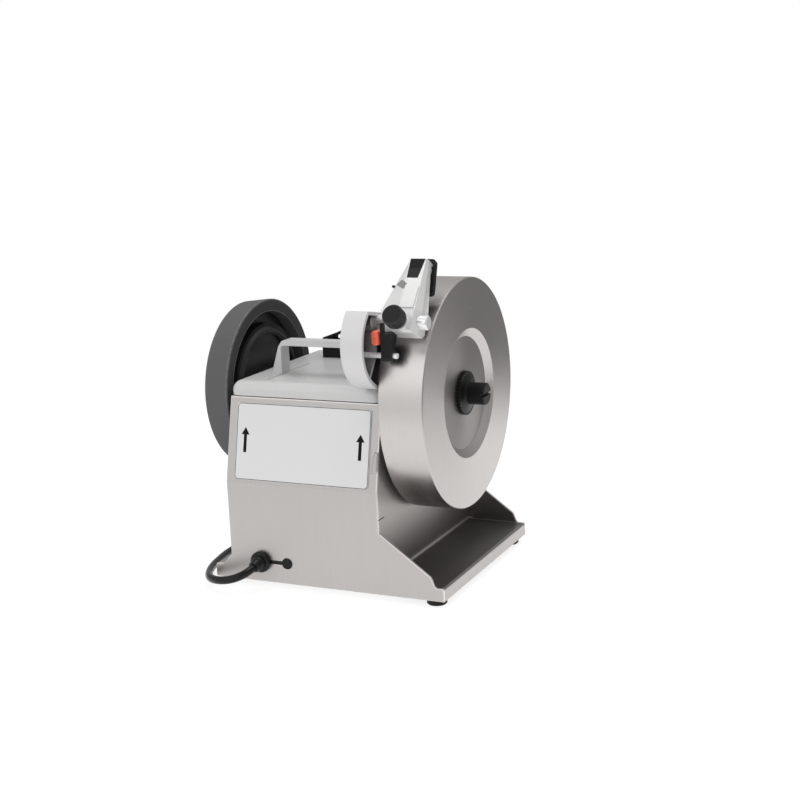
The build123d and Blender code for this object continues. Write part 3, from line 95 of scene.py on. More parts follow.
def full_turn(steps: int) -> np.ndarray:
    """Angles of a full turn in even steps, without the last one, which would repeat the first."""
    return np.linspace(0.0, 2.0 * math.pi, steps + 1)[:-1]


def toned(base: Colour, tone: float, extra: float = 0.0) -> Colour:
    """Colour times a tone, plus an extra grey, kept at 1 or below."""
    return tuple(min(1.0, part * tone + extra) for part in base)


class Sweep(Enum):
    """Which ends of a grid surface meet."""

    OPEN = (False, False)
    ROUND = (True, False)
    ACROSS = (False, True)


@dataclass(frozen=True)
class Pattern:
    """Noise: its repeats per unit, the number of its finer layers and their weight."""

    scale: float
    detail: float = 3.0
    rough: float = 0.55


class Nodes:
    """Node tree, with the steps that the finishes and the surroundings share."""

    def __init__(self, tree: bpy.types.NodeTree) -> None:
        """Takes the tree to which nodes are added."""
        self.tree = tree

    def add(self, kind: str, *values: object, **settings: object) -> bpy.types.Node:
        """Adds a node.

        Args:
            kind: Node type.
            values: Sockets or plain values for its first inputs, in order.
            settings: Properties to set on it.

        Returns:
            The node.
        """
        node = self.tree.nodes.new(kind)
        for key, value in settings.items():
            setattr(node, key, value)
        for socket, value in zip(node.inputs, values):
            self.put(socket, value)
        return node

    def put(self, socket: Socket, value: object) -> None:
        """Links a socket, or sets a plain value, on an input.

        Args:
            socket: The input.
            value: A socket or a value.
        """
        if isinstance(value, bpy.types.NodeSocket):
            self.tree.links.new(value, socket)
        else:
            socket.default_value = value

    def feed(self, node: bpy.types.Node, **values: object) -> None:
        """Puts a socket or a value on each named input, with _ for a space in a name."""
        for key, value in values.items():
            self.put(node.inputs[key.replace("_", " ")], value)

    def maths(self, operation: str, *values: object, clamp: bool = False) -> Socket:
        """Result of a sum on sockets or numbers, kept from 0 to 1 if it is clamped."""
        return self.add("ShaderNodeMath", *values, operation=operation, use_clamp=clamp).outputs[0]

    def dot(self, first: Socket, second: object) -> Socket:
        """Dot product of a vector socket with another or with a direction."""
        return self.add("ShaderNodeVectorMath", first, second, operation="DOT_PRODUCT").outputs["Value"]

    def span(self, value: Socket, reach: Range, ends: Range = RISING, at: float = 0.0) -> Socket:
        """Smooth change from one result to another while a value goes over a reach.

        Args:
            value: Socket that is read.
            reach: Where the change begins and ends, counted from a place.
            ends: Results before and after it.
            at: The place.

        Returns:
            The value socket.
        """
        numbers = (at + reach[0], at + reach[1], *ends)
        return self.add("ShaderNodeMapRange", value, *numbers, interpolation_type="SMOOTHSTEP").outputs[0]


class Graph(Nodes):
    """Nodes of one material."""

    hollow_span: Range = (0.42, 0.93)
    hollow_samples: int = 8
    wear_and_highlight_span: Range = (0.985, 0.86)
    patches: Pattern = Pattern(260.0)
    patch_span: Range = (0.25, 0.6)
    patch_share: Range = (0.35, 1.0)
    flank_lit_side: Point = (0.62, 0.0, 0.78)
    flank_highlight_span: Range = (0.30, 0.48)
    flank_samples: int = 8
    mix_inputs: tuple[int, int] = (6, 7)

    def __init__(self, name: str) -> None:
        """Starts an empty material.

        Args:
            name: Name of the material.
        """
        self.material = bpy.data.materials.new(name)
        self.material.use_nodes = True
        super().__init__(self.material.node_tree)
        self.shader = self.tree.nodes["Principled BSDF"]

    def place(self, scale: Point = UNIT, centre: Point = ORIGIN) -> Socket:
        """Object coordinates, moved to a centre and then scaled.

        Args:
            scale: Repeats per metre along x, y and z.
            centre: Point in metres that becomes the pattern's origin.

        Returns:
            The vector socket.
        """
        spot = self.add("ShaderNodeTexCoord").outputs["Object"]
        moved = self.add("ShaderNodeVectorMath", spot, centre, operation="SUBTRACT").outputs[0]
        return self.add("ShaderNodeVectorMath", moved, scale, operation="MULTIPLY").outputs[0]

    def noise(self, pattern: Pattern, vector: Optional[Socket] = None) -> Socket:
        """Noise from 0 to 1.

        Args:
            pattern: The noise.
            vector: Place of the pattern, None for object coordinates in metres.

        Returns:
            The value socket.
        """
        node = self.add("ShaderNodeTexNoise", self.place() if vector is None else vector)
        self.feed(node, Scale=pattern.scale, Detail=pattern.detail, Roughness=pattern.rough)
        return node.outputs["Fac"]

    def blend(self, share: Socket, first: object, second: object) -> Socket:
        """Colour between two others.

        Args:
            share: Part of the second colour.
            first: Colour or socket.
            second: Colour or socket.

        Returns:
            The colour socket.
        """
        node = self.add("ShaderNodeMix", share, data_type="RGBA")
        for slot, value in zip(self.mix_inputs, (first, second)):
            self.put(node.inputs[slot], value if isinstance(value, bpy.types.NodeSocket) else (*value, 1.0))
        return node.outputs[2]

    def shades(self, share: Socket, base: Colour, spread: float) -> Socket:
        """Colour that varies about a base by a share of it, as a noise goes from 0 to 1."""
        return self.blend(share, toned(base, 1.0 - spread), toned(base, 1.0 + spread))

    def axes(self) -> bpy.types.NodeOutputs:
        """X, Y and Z of the surface in millimetres of the drawing frame."""
        return self.add("ShaderNodeSeparateXYZ", self.place((MM, MM, MM), tuple(SHIFT / MM))).outputs

    def soft_normal(self, radius_mm: float, samples: int = 4) -> Socket:
        """Normal that is rounded over the edges.

        Args:
            radius_mm: Radius of the rounding.
            samples: Rays that look for edges.

        Returns:
            The vector socket.
        """
        edge = self.add("ShaderNodeBevel", samples=samples)
        self.feed(edge, Radius=radius_mm / MM)
        return edge.outputs[0]

    def hollow(self, reach_mm: float, amount: float) -> Socket:
        """Share of painted shade in hollows, where the piece closes in on itself.

        Args:
            reach_mm: How far away the closing walls may be.
            amount: Largest share.

        Returns:
            The value socket.
        """
        closed = self.add("ShaderNodeAmbientOcclusion", samples=self.hollow_samples, only_local=True)
        self.feed(closed, Distance=reach_mm / MM)
        return self.span(closed.outputs["AO"], self.hollow_span, (amount, 0.0))

    def edge_wear_and_highlight(self, edge_mm: float, amount: float) -> Socket:
        """Share of patchy pale edges, where the softened normal departs from the true one: marks of use on
        some finishes, a painted highlight on others.

        Args:
            edge_mm: Reach of the pale band from an edge.
            amount: Largest share.

        Returns:
            The value socket.
        """
        kept = self.dot(self.soft_normal(edge_mm), self.add("ShaderNodeNewGeometry").outputs["Normal"])
        patches = self.span(self.noise(self.patches), self.patch_span, self.patch_share)
        return self.maths("MULTIPLY", self.span(kept, self.wear_and_highlight_span, (0.0, amount)), patches)

    def flank_highlight(self, reach_mm: float) -> Socket:
        """Share of painted highlight on the cut faces that look up and to the right, and on the softened edge
        beside them.
        """
        normal = self.soft_normal(reach_mm, self.flank_samples)
        return self.span(self.dot(normal, self.flank_lit_side), self.flank_highlight_span)


@dataclass(frozen=True)
class Finish:
    """What every finish has: a gloss, a fine pattern, soft clouds in the colour and paler edges, which are
    marks of use on some finishes and painted highlights on others.

    The roughness changes by rough_by while the pattern that it follows goes over rough_at.
    """

    name: str
    base: Colour
    metal: float = 0.0
    shine: float = 0.5
    coat: float = 0.0
    coat_rough: float = 0.03
    rough: float = 0.40
    rough_at: Range = (0.3, 0.7)
    rough_by: Range = (-0.06, 0.08)
    fine: Pattern = Pattern(900.0, 2.0)
    stretch: Point = UNIT
    relief_mm: float = 0.03
    relief_share: float = 0.25
    edge_mm: float = 0.5
    clouds: Pattern = Pattern(70.0)
    spread: float = 0.05
    wear_and_highlight_mm: float = 0.0
    wear_and_highlight_share: float = 0.8
    wear_and_highlight_tone: float = 1.0
    rub_and_highlight: float = 0.0
    flank_highlight_mm: float = 0.0

    def material(self) -> bpy.types.Material:
        """Builds the material.

        Returns:
            The new material.
        """
        graph = Graph(self.name)
        graph.feed(graph.shader, Metallic=self.metal, Specular_IOR_Level=self.shine)
        graph.feed(graph.shader, Coat_Weight=self.coat, Coat_Roughness=self.coat_rough)
        self.dress(graph)
        return graph.material

    def dress(self, graph: Graph) -> None:
        """Links the nodes: the fine pattern in the roughness and the relief, and the colour with its pale
        edges, painted light and shade, and a painted highlight on the cut faces.

        Args:
            graph: Material's nodes.
        """
        fine = graph.noise(self.fine, graph.place(self.stretch))
        tone = self.wear_and_painted_light(graph)
        # Painted highlight on the cut faces that look up and to the right.
        if self.flank_highlight_mm > 0.0:
            tone = graph.blend(graph.flank_highlight(self.flank_highlight_mm), tone, toned(self.base, self.wear_and_highlight_tone))
        self.lay(graph, tone, self.roughness(graph, fine), fine)

    def colour(self, graph: Graph) -> Socket:
        """Colour with soft clouds."""
        return graph.shades(graph.noise(self.clouds), self.base, self.spread)

    def wear_and_painted_light(self, graph: Graph) -> Socket:
        """Colour with paler edges: marks of use on moulded and cast parts, painted highlights on the sheet's
        cut edges, the tyre's edges and the knob's ribs.

        Args:
            graph: Material's nodes.

        Returns:
            The colour socket.
        """
        tone = self.colour(graph)
        # Pale edges: marks of use, and on sheet, tyre and knob a painted highlight.
        if self.wear_and_highlight_mm > 0.0:
            pale = toned(self.base, self.wear_and_highlight_tone, self.rub_and_highlight)
            tone = graph.blend(graph.edge_wear_and_highlight(self.wear_and_highlight_mm, self.wear_and_highlight_share), tone, pale)
        return tone

    def roughness(self, graph: Graph, pattern: Socket) -> Socket:
        """Roughness that follows a pattern from 0 to 1."""
        return graph.span(pattern, self.rough_at, tuple(self.rough + part for part in self.rough_by))

    def lay(self, graph: Graph, tone: Socket, rough: object, height: Socket) -> None:
        """Feeds the shader, with a fine relief over edges that are softened by a small radius.

        Args:
            graph: Material's nodes.
            tone: Colour.
            rough: Roughness, a socket or a number.
            height: Height of the relief from 0 to 1.
        """
        bump = graph.add("ShaderNodeBump")
        graph.feed(bump, Height=height, Strength=self.relief_share, Distance=self.relief_mm / MM)
        if self.edge_mm > 0.0:
            graph.feed(bump, Normal=graph.soft_normal(self.edge_mm))
        graph.feed(graph.shader, Base_Color=tone, Roughness=rough, Normal=bump.outputs[0])


@dataclass(frozen=True)
class BrushedSheet(Finish):
    """Satin stainless sheet with fine upright brush lines, faint broad tone changes and painted highlights on
    its cut edges.
    """

    metal: float = 0.85
    rough_at: Range = (0.2, 0.8)
    rough_by: Range = (-0.06, 0.07)
    fine: Pattern = Pattern(1.0)
    stretch: Point = (2400.0, 2400.0, 30.0)
    streaks: Pattern = Pattern(1.0, 4.0)
    streak_length: float = 6.0
    streak_share: float = 0.5
    clouds: Pattern = Pattern(14.0, 2.0)
    spread: float = 0.045
    # Pale cut edges: a painted highlight.
    wear_and_highlight_mm: float = 1.1
    wear_and_highlight_tone: float = 1.75
    wear_and_highlight_share: float = 0.9

    def colour(self, graph: Graph) -> Socket:
        """Colour with brush streaks over soft clouds.

        Args:
            graph: Material's nodes.

        Returns:
            The colour socket.
        """
        place = graph.place(tuple(part / self.streak_length for part in self.stretch))
        clouds = graph.maths("MULTIPLY", graph.noise(self.clouds), 1.0 - self.streak_share)
        mixed = graph.maths("MULTIPLY_ADD", graph.noise(self.streaks, place), self.streak_share, clouds)
        return graph.shades(mixed, self.base, self.spread)


@dataclass(frozen=True)
class TraySheet(BrushedSheet):
    """Brushed sheet whose tray side has painted shade down the wall and a dark tone on the floor, with
    painted highlights of bare sheet along its folds and painted light on its bare lip.

    A reach is counted from the wall, or from the height of the floor, the lip's face or the rear cheek.
    """

    dust_and_shade: Colour = (0.115, 0.107, 0.104)
    wall_shade_share: float = 0.62
    wall_reach: Range = (-0.5, 0.2)
    shade_top_mm: float = 95.0
    floor_mm: float = 17.2
    floor_reach: Range = (-0.4, 2.6)
    under_reach: Range = (-1.2, -0.5)
    lip_mm: float = 57.3
    lip_reach: Range = (-0.3, -0.1)
    lip_clear: Range = (-2.8, -0.8)
    lip_light_tone: float = 1.08
    rear_mm: float = 95.25
    rear_reach: Range = (0.3, 1.0)
    fold_rise: float = 1.3
    fold_half: Range = (0.35, 0.85)
    fold_run: Range = (5.0, 6.0)
    fold_highlight_share: float = 0.75
    joint_rise: Range = (0.4, 0.9)
    joint_reach: Range = (-1.3, -0.9)
    joint_highlight_share: float = 0.6
    painted_shade: Pattern = Pattern(60.0, 5.0)
    shade_ragged_mm: float = 6.0
    grit: Pattern = Pattern(900.0)
    grit_spread: float = 0.35

    def fold(self, graph: Graph, axes: bpy.types.NodeOutputs) -> Socket:
        """Share of painted highlight, the bare sheet colour along the fold of the wall and along the rear
        joint of the floor.

        Args:
            graph: Material's nodes.
            axes: The surface's place in millimetres.

        Returns:
            The value socket.
        """
        off = graph.maths("ABSOLUTE", graph.maths("SUBTRACT", axes["Z"], self.floor_mm + self.fold_rise))
        near_wall = graph.span(axes["X"], self.fold_run, FALLING)
        bend = graph.maths("MULTIPLY", graph.span(off, self.fold_half, (self.fold_highlight_share, 0.0)), near_wall)
        low = graph.span(axes["Z"], self.joint_rise, FALLING, self.floor_mm)
        back = graph.span(axes["Y"], self.joint_reach, (0.0, self.joint_highlight_share), self.rear_mm)
        return graph.maths("MAXIMUM", bend, graph.maths("MULTIPLY", low, back))

    def wear_and_painted_light(self, graph: Graph) -> Socket:
        """Sheet colour with painted shade that darkens down the wall, a dark tone on the floor, painted light
        on the lip and painted highlights along the folds.

        Args:
            graph: Material's nodes.

        Returns:
            The colour socket.
        """
        axes = graph.axes()
        # Painted light: the lip's outer face is made lighter than the sheet.
        lip = graph.span(axes["X"], self.lip_reach, at=self.lip_mm)
        clean = graph.blend(lip, super().wear_and_painted_light(graph), toned(self.base, self.lip_light_tone))
        # Painted shade down the wall, with a ragged top edge.
        height = graph.maths("MULTIPLY_ADD", graph.noise(self.painted_shade), self.shade_ragged_mm, axes["Z"])
        wall = graph.span(height, (self.floor_mm, self.shade_top_mm), (self.wall_shade_share, 0.0))
        floor = graph.span(axes["Z"], self.floor_reach, FALLING, self.floor_mm)
        floor = graph.maths("MULTIPLY", floor, graph.span(axes["Z"], self.under_reach, at=self.floor_mm))
        floor = graph.maths("MULTIPLY", floor, graph.span(axes["X"], self.lip_clear, FALLING, self.lip_mm))
        outside = graph.span(axes["X"], self.wall_reach)
        share = graph.maths("MULTIPLY", graph.maths("MAXIMUM", wall, floor), outside, clamp=True)
        inside = graph.span(axes["Y"], self.rear_reach, FALLING, self.rear_mm)
        inside = graph.maths("MULTIPLY", inside, graph.maths("SUBTRACT", 1.0, lip))
        share = graph.maths("MULTIPLY", share, inside)
        # Painted highlights: bare sheet colour along the folds.
        share = graph.maths("SUBTRACT", share, self.fold(graph, axes), clamp=True)
        # Dark colour: painted shade on the wall, a dark tone on the floor.
        return graph.blend(share, clean, graph.shades(graph.noise(self.grit), self.dust_and_shade, self.grit_spread))


@dataclass(frozen=True)
class CastPaint(Finish):
    """Satin paint on a casting, with the slight orange peel of a sprayed coat."""

    coat: float = 0.15
    coat_rough: float = 0.25
    rough: float = 0.36
    rough_by: Range = (-0.04, 0.05)
    fine: Pattern = Pattern(520.0, 2.0)
    relief_mm: float = 0.06
    relief_share: float = 0.10
    edge_mm: float = 0.8
    clouds: Pattern = Pattern(25.0)
    spread: float = 0.025
    painted_shade: Colour = (0.055, 0.053, 0.054)
    hollow_shade: float = 0.0
    hollow_mm: float = 24.0
    seam_mm: float = 0.0
    seam_reach: Range = (0.0, 0.3)
    seam_shade: float = 0.9

    def colour(self, graph: Graph) -> Socket:
        """Soft clouds, with painted shade in hollows and along a low seam.

        Args:
            graph: Material's nodes.

        Returns:
            The colour socket.
        """
        tone = super().colour(graph)
        # Painted shade in the hollows.
        if self.hollow_shade > 0.0:
            tone = graph.blend(graph.hollow(self.hollow_mm, self.hollow_shade), tone, self.painted_shade)
        # Painted shade along the lower edge, in the gap of the seam.
        if self.seam_mm > 0.0:
            seam = graph.span(graph.axes()["Z"], self.seam_reach, (self.seam_shade, 0.0), self.seam_mm)
            tone = graph.blend(seam, tone, self.painted_shade)
        return tone


@dataclass(frozen=True)
class PlateFace(Finish):
    """Matt plate with a fine grain, in the colour as in the relief."""

    rough: float = 0.48
    rough_by: Range = (-0.05, 0.05)
    fine: Pattern = Pattern(1400.0, 2.0)
    relief_mm: float = 0.01
    relief_share: float = 0.15
    edge_mm: float = 0.3
    clouds: Pattern = Pattern(1400.0, 2.0)
    spread: float = 0.02


@dataclass(frozen=True)
class TurnedSteel(Finish):
    """Steel with circular lines about the shaft, whose highlights spread across the lines."""

    metal: float = 1.0
    rough: float = 0.29
    rough_at: Range = (0.25, 0.75)
    rough_by: Range = (-0.03, 0.05)
    fine: Pattern = Pattern(5200.0)
    relief_mm: float = 0.004
    relief_share: float = 0.06
    clouds: Pattern = Pattern(5200.0 / 12.0, 2.0)
    spread: float = 0.018
    across: float = 0.55
    recess_mm: float = 49.3
    recess_soft: Range = (-2e-4, 0.0)
    recess_tone: float = 0.68
    recess_rough: float = 0.20
    centre: Point = SHAFT_AXIS

    def dress(self, graph: Graph) -> None:
        """Lines at a steady distance along and from the axis, in colour, roughness and relief.

        Args:
            graph: Material's nodes.
        """
        along = graph.add("ShaderNodeSeparateXYZ", graph.place(centre=self.centre)).outputs["X"]
        off_axis = graph.place((0.0, 1.0, 1.0), self.centre)
        radius = graph.add("ShaderNodeVectorMath", off_axis, operation="LENGTH").outputs["Value"]
        ring = graph.add("ShaderNodeCombineXYZ", along, radius).outputs[0]
        fine, broad = (graph.noise(pattern, ring) for pattern in (self.fine, self.clouds))
        inside = graph.span(radius, self.recess_soft, FALLING, self.recess_mm / MM)
        dull = graph.shades(broad, toned(self.base, self.recess_tone), self.spread)
        tone = graph.blend(inside, graph.shades(broad, self.base, self.spread), dull)
        rough = graph.maths("MULTIPLY_ADD", inside, self.recess_rough, self.roughness(graph, fine))
        tangent = graph.add("ShaderNodeTangent", axis="X").outputs[0]
        graph.feed(graph.shader, Anisotropic=self.across, Tangent=tangent)
        self.lay(graph, tone, rough, fine)


@dataclass(frozen=True)
class Composite(Finish):
    """Matt composite with a fine grit, with painted shade darkening the ring's face against its running side
    and a painted highlight along its edges.
    """

    shine: float = 0.2
    rough: float = 0.78
    rough_by: Range = (-0.06, 0.1)
    fine: Pattern = Pattern(1500.0, 4.0, 0.7)
    fine_share: float = 0.7
    relief_mm: float = 0.12
    relief_share: float = 0.35
    clouds: Pattern = Pattern(30.0, 2.0)
    cloud_share: float = 0.3
    spread: float = 0.22
    # Pale edges: a painted highlight along the ring's chamfer.
    wear_and_highlight_mm: float = 1.5
    wear_and_highlight_share: float = 0.95
    wear_and_highlight_tone: float = 3.0
    face_mm: float = -151.0
    face_reach: Range = (-0.45, -0.15)
    face_shade_tone: float = 0.50

    def colour(self, graph: Graph) -> Socket:
        """Grit over soft clouds, with painted shade on the face.

        Args:
            graph: Material's nodes.

        Returns:
            The colour socket.
        """
        clouds = graph.maths("MULTIPLY", graph.noise(self.clouds), self.cloud_share)
        speck = graph.maths("MULTIPLY_ADD", graph.noise(self.fine), self.fine_share, clouds)
        # Painted shade on the ring's face.
        face = graph.span(graph.axes()["X"], self.face_reach, at=self.face_mm)
        dark = graph.shades(speck, toned(self.base, self.face_shade_tone), self.spread)
        return graph.blend(face, graph.shades(speck, self.base, self.spread), dark)


@dataclass(frozen=True)
class Moulded(Finish):
    """Moulded plastic or rubber with a fine texture and small marks of use."""

    shine: float = 0.3
    coat_rough: float = 0.12
    rough: float = 0.42
    rough_by: Range = (-0.05, 0.08)
    relief_mm: float = 0.05
    relief_share: float = 0.18
    edge_mm: float = 0.3
    clouds: Pattern = Pattern(70.0, 5.0, 0.65)
    spread: float = 0.18
    wear_and_highlight_mm: float = 0.7
    wear_and_highlight_share: float = 0.55
    wear_and_highlight_tone: float = 1.5
    rub_and_highlight: float = 0.03
    step_mm: float = 0.0
    step_reach: Range = (-0.15, 0.15)
    step_tone: float = 0.25

    def colour(self, graph: Graph) -> Socket:
        """Marks of use, and a darker part above a step.

        Args:
            graph: Material's nodes.

        Returns:
            The colour socket.
        """
        tone = super().colour(graph)
        if self.step_mm > 0.0:
            above = graph.span(graph.axes()["Z"], self.step_reach, at=self.step_mm)
            dark = graph.shades(graph.noise(self.clouds), toned(self.base, self.step_tone), self.spread)
            tone = graph.blend(above, tone, dark)
        return tone

    def roughness(self, graph: Graph, pattern: Socket) -> Socket:
        """Roughness that follows the marks of use, not the texture."""
        return super().roughness(graph, graph.noise(self.clouds))


@dataclass(frozen=True)
class SatinCasting(Finish):
    """Blasted and lightly polished light metal, with edges polished by use."""

    metal: float = 0.85
    rough: float = 0.34
    fine: Pattern = Pattern(1100.0)
    relief_share: float = 0.22
    edge_mm: float = 0.4
    clouds: Pattern = Pattern(90.0)
    wear_and_highlight_mm: float = 0.8
    wear_and_highlight_tone: float = 1.18


@dataclass(frozen=True)
class Polished(Finish):
    """Bright metal with hairline scratches along it."""

    metal: float = 1.0
    rough: float = 0.08
    rough_at: Range = (0.45, 0.75)
    rough_by: Range = (0.0, 0.10)
    fine: Pattern = Pattern(1.0)
    stretch: Point = (60.0, 3000.0, 3000.0)
    relief_mm: float = 0.01
    relief_share: float = 0.1
    edge_mm: float = 0.2
    clouds: Pattern = Pattern(120.0, 2.0)
    spread: float = 0.03


@dataclass(frozen=True)
class Laminated(Finish):
    """Stacked steel sheets, or windings, as fine bands along the shaft."""

    metal: float = 0.6
    rough: float = 0.5
    relief_mm: float = 0.1
    relief_share: float = 0.4
    edge_mm: float = 0.0
    spread: float = 0.4
    pitch_mm: float = 0.65
    wave_unit: float = 20.0
    waver: float = 0.6

    def dress(self, graph: Graph) -> None:
        """Bands from a wave along x, in the colour and the relief.

        Args:
            graph: Material's nodes.
        """
        wave = graph.add("ShaderNodeTexWave", graph.place(), bands_direction="X")
        graph.feed(wave, Scale=MM / self.pitch_mm / self.wave_unit, Distortion=self.waver)
        bands = wave.outputs["Fac"]
        self.lay(graph, graph.shades(bands, self.base, self.spread), self.rough, bands)


FINISHES: dict[str, Finish] = {
    "housing_steel": BrushedSheet("satin sheet", STAINLESS),
    "screw_steel": Polished("turned fastener steel", (0.60, 0.60, 0.61), rough=0.22),
    # Painted shade along the lid's lower edge and in the arm's hollows.
    "lid_paint": CastPaint("lid paint", (0.555, 0.55, 0.548), seam_mm=166.5),
    "arm_paint": CastPaint("arm paint", (0.64, 0.63, 0.64), hollow_shade=0.92),
    "plate_face": PlateFace("plate face", (0.67, 0.67, 0.67)),
    "wheel_steel": TurnedSteel("ground wheel steel", (0.57, 0.545, 0.53)),
    "tyre_composite": Composite("honing composite", (0.108, 0.108, 0.110)),
    "black_plastic": Moulded("black plastic", (0.009, 0.009, 0.010), shine=0.2),
    "black_rubber": Moulded("black rubber", (0.011, 0.011, 0.012), rough=0.55, relief_share=0.25, shine=0.2),
    "guide_metal": SatinCasting("guide casting", (0.785, 0.785, 0.78), rough=0.40, metal=0.40, edge_mm=0.9),
    "bar_chrome": Polished("chrome", (0.90, 0.90, 0.905), rough=0.12, metal=0.45),
    "button_red": Moulded(
        "red button", (0.90, 0.145, 0.078), rough=0.28, relief_share=0.06, shine=0.5, coat=0.4
    ),
    "bush_bronze": Polished("bronze", (0.58, 0.42, 0.22), rough=0.25),
    "lamination_steel": Laminated("laminations", (0.20, 0.20, 0.21)),
    "winding_copper": Laminated("copper winding", (0.45, 0.19, 0.08), pitch_mm=0.9, metal=0.8, rough=0.35),
    "cream_plastic": Moulded("cream plastic", (0.62, 0.58, 0.48), rough=0.4),
}
OWN_FINISHES: dict[str, Finish] = {
    # The front and rear sheets get a painted highlight on their cut faces.
    "front_panel": BrushedSheet("front sheet", STAINLESS, flank_highlight_mm=2.6),
    "right_wall": TraySheet("tray sheet", STAINLESS),
    # The rear sheet's inner face gets painted shade up to 120 mm.
    "rear_panel": TraySheet("rear sheet", STAINLESS, wall_shade_share=0.9, shade_top_mm=120.0, flank_highlight_mm=2.6),
    "index_pin": SatinCasting("pin steel", (0.96, 0.96, 0.96), rough=0.28, metal=0.25),
    "front_cushion": Moulded(
        "cushion rubber", (0.020, 0.020, 0.021), rough=0.55, relief_share=0.25, shine=0.2, step_mm=276.3
    ),
    "cord_gland": Moulded("gland rubber", (0.006, 0.006, 0.006), rough=0.26, shine=0.2, coat=0.1, rub_and_highlight=0.05),
    "drive_wheel": Moulded("drive wheel plastic", (0.011, 0.011, 0.012), rough=0.34, shine=0.42),
    "wheel_lock_nut": Moulded("hand nut plastic", (0.007, 0.007, 0.007), rough=0.34, shine=0.2),
    # The knob's pale rib edges are painted highlights.
    "clamp_knob": Moulded(
        "knob plastic", (0.009, 0.009, 0.010), rough=0.40, shine=0.25, rub_and_highlight=0.45, wear_and_highlight_mm=0.2, wear_and_highlight_share=0.95
    ),
}
INK = Moulded(
    "printed ink", (0.008, 0.008, 0.008), rough=0.6, relief_share=0.05, edge_mm=0.0, wear_and_highlight_mm=0.0, shine=0.08
)
SHADOW_GAP = Moulded(
    "cut edge", (0.03, 0.029, 0.028), rough=0.7, relief_share=0.1, edge_mm=0.0, wear_and_highlight_mm=0.0
)
# Darker copy of the guide's casting: painted shade for the pocket.
POCKET_SHADE = SatinCasting("painted pocket shade", (0.30, 0.298, 0.29), rough=0.5, edge_mm=0.0, metal=0.4)
LEAD_RUBBER = Moulded(
    "lead sheath", (0.006, 0.006, 0.006), rough=0.24, fine=Pattern(1500.0, 2.0), relief_share=0.06,
    edge_mm=0.0, wear_and_highlight_mm=0.0, shine=0.2, coat=0.1,
)


def grid_piece(
    name: str, points: np.ndarray, sweep: Sweep = Sweep.OPEN, smooth: bool = False
) -> bpy.types.Object:
    """Mesh over a grid of points: each cell of the grid is one quad.

    Args:
        name: Name of the piece.
        points: Array of shape (rows, columns, 3) in metres of the shared frame.
        sweep: Which ends of the grid meet.
        smooth: Whether its faces are shaded smoothly.

    Returns:
        The new object.
    """
    rows, columns = points.shape[:2]
    number = np.arange(rows * columns).reshape(rows, columns)
    if sweep.value[0]:
        number = np.vstack([number, number[:1]])
    if sweep.value[1]:
        number = np.hstack([number, number[:, :1]])
    corners = [number[:-1, :-1], number[1:, :-1], number[1:, 1:], number[:-1, 1:]]
    mesh = bpy.data.meshes.new(name)
    mesh.from_pydata(points.reshape(-1, 3).tolist(), [], np.stack(corners, axis=-1).reshape(-1, 4).tolist())
    mesh.polygons.foreach_set("use_smooth", np.full(len(mesh.polygons), smooth))
    mesh.update()
    piece = bpy.data.objects.new(name, mesh)
    bpy.context.scene.collection.objects.link(piece)
    return piece


def finish_piece(piece: bpy.types.Object, finish: Finish, body: str) -> None:
    """Dresses a new piece and lets it ride on a body.

    Args:
        piece: New object.
        finish: Its finish.
        body: Name of the body that carries it.
    """
    piece.data.materials.append(finish.material())
    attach(piece, body)
    log.info("piece %s on %s", piece.name, body)


@dataclass
class CadDress:
    """Finishes of the solid model's own nodes."""

    record: dict

    def dress(self, nodes: dict[str, bpy.types.Object]) -> None:
        """Gives each node the finish of its slot, or its own.

        Args:
            nodes: The solid model's objects by name.
        """
        made: dict[str, bpy.types.Material] = {}
        slots = {row["node"]: row["material_slot"] for row in self.record["subparts"]}
        for name, node in nodes.items():
            finish = OWN_FINISHES.get(name, FINISHES[slots[name]])
            if finish.name not in made:
                made[finish.name] = finish.material()
            node.data.materials.clear()
            node.data.materials.append(made[finish.name])
        log.info("dressed %d nodes with %d finishes", len(nodes), len(made))


@dataclass
class LeaningPanel:
    """Outer face of the housing's front above its bend, where it leans to the rear."""

    lean_run: float = 16.7
    bend_z: float = 94.0
    top_z: float = 165.9
    front_y: float = -97.25

    def points(self, x: np.ndarray, up: np.ndarray, off: np.ndarray) -> np.ndarray:
        """Points over the panel: x, the bend plus up along the slope, and off along the face's normal.

        Args:
            x: Distances along the shaft in millimetres.
            up: Distances up the slope.
            off: Distances off the face.

        Returns:
            Points in metres of the shared frame.
        """
        lean = math.atan2(self.lean_run, self.top_z - self.bend_z)
        y = self.front_y + up * math.sin(lean) - off * math.cos(lean)
        z = self.bend_z + up * math.cos(lean) + off * math.sin(lean)
        return shared(np.stack([x, y, z], axis=-1))


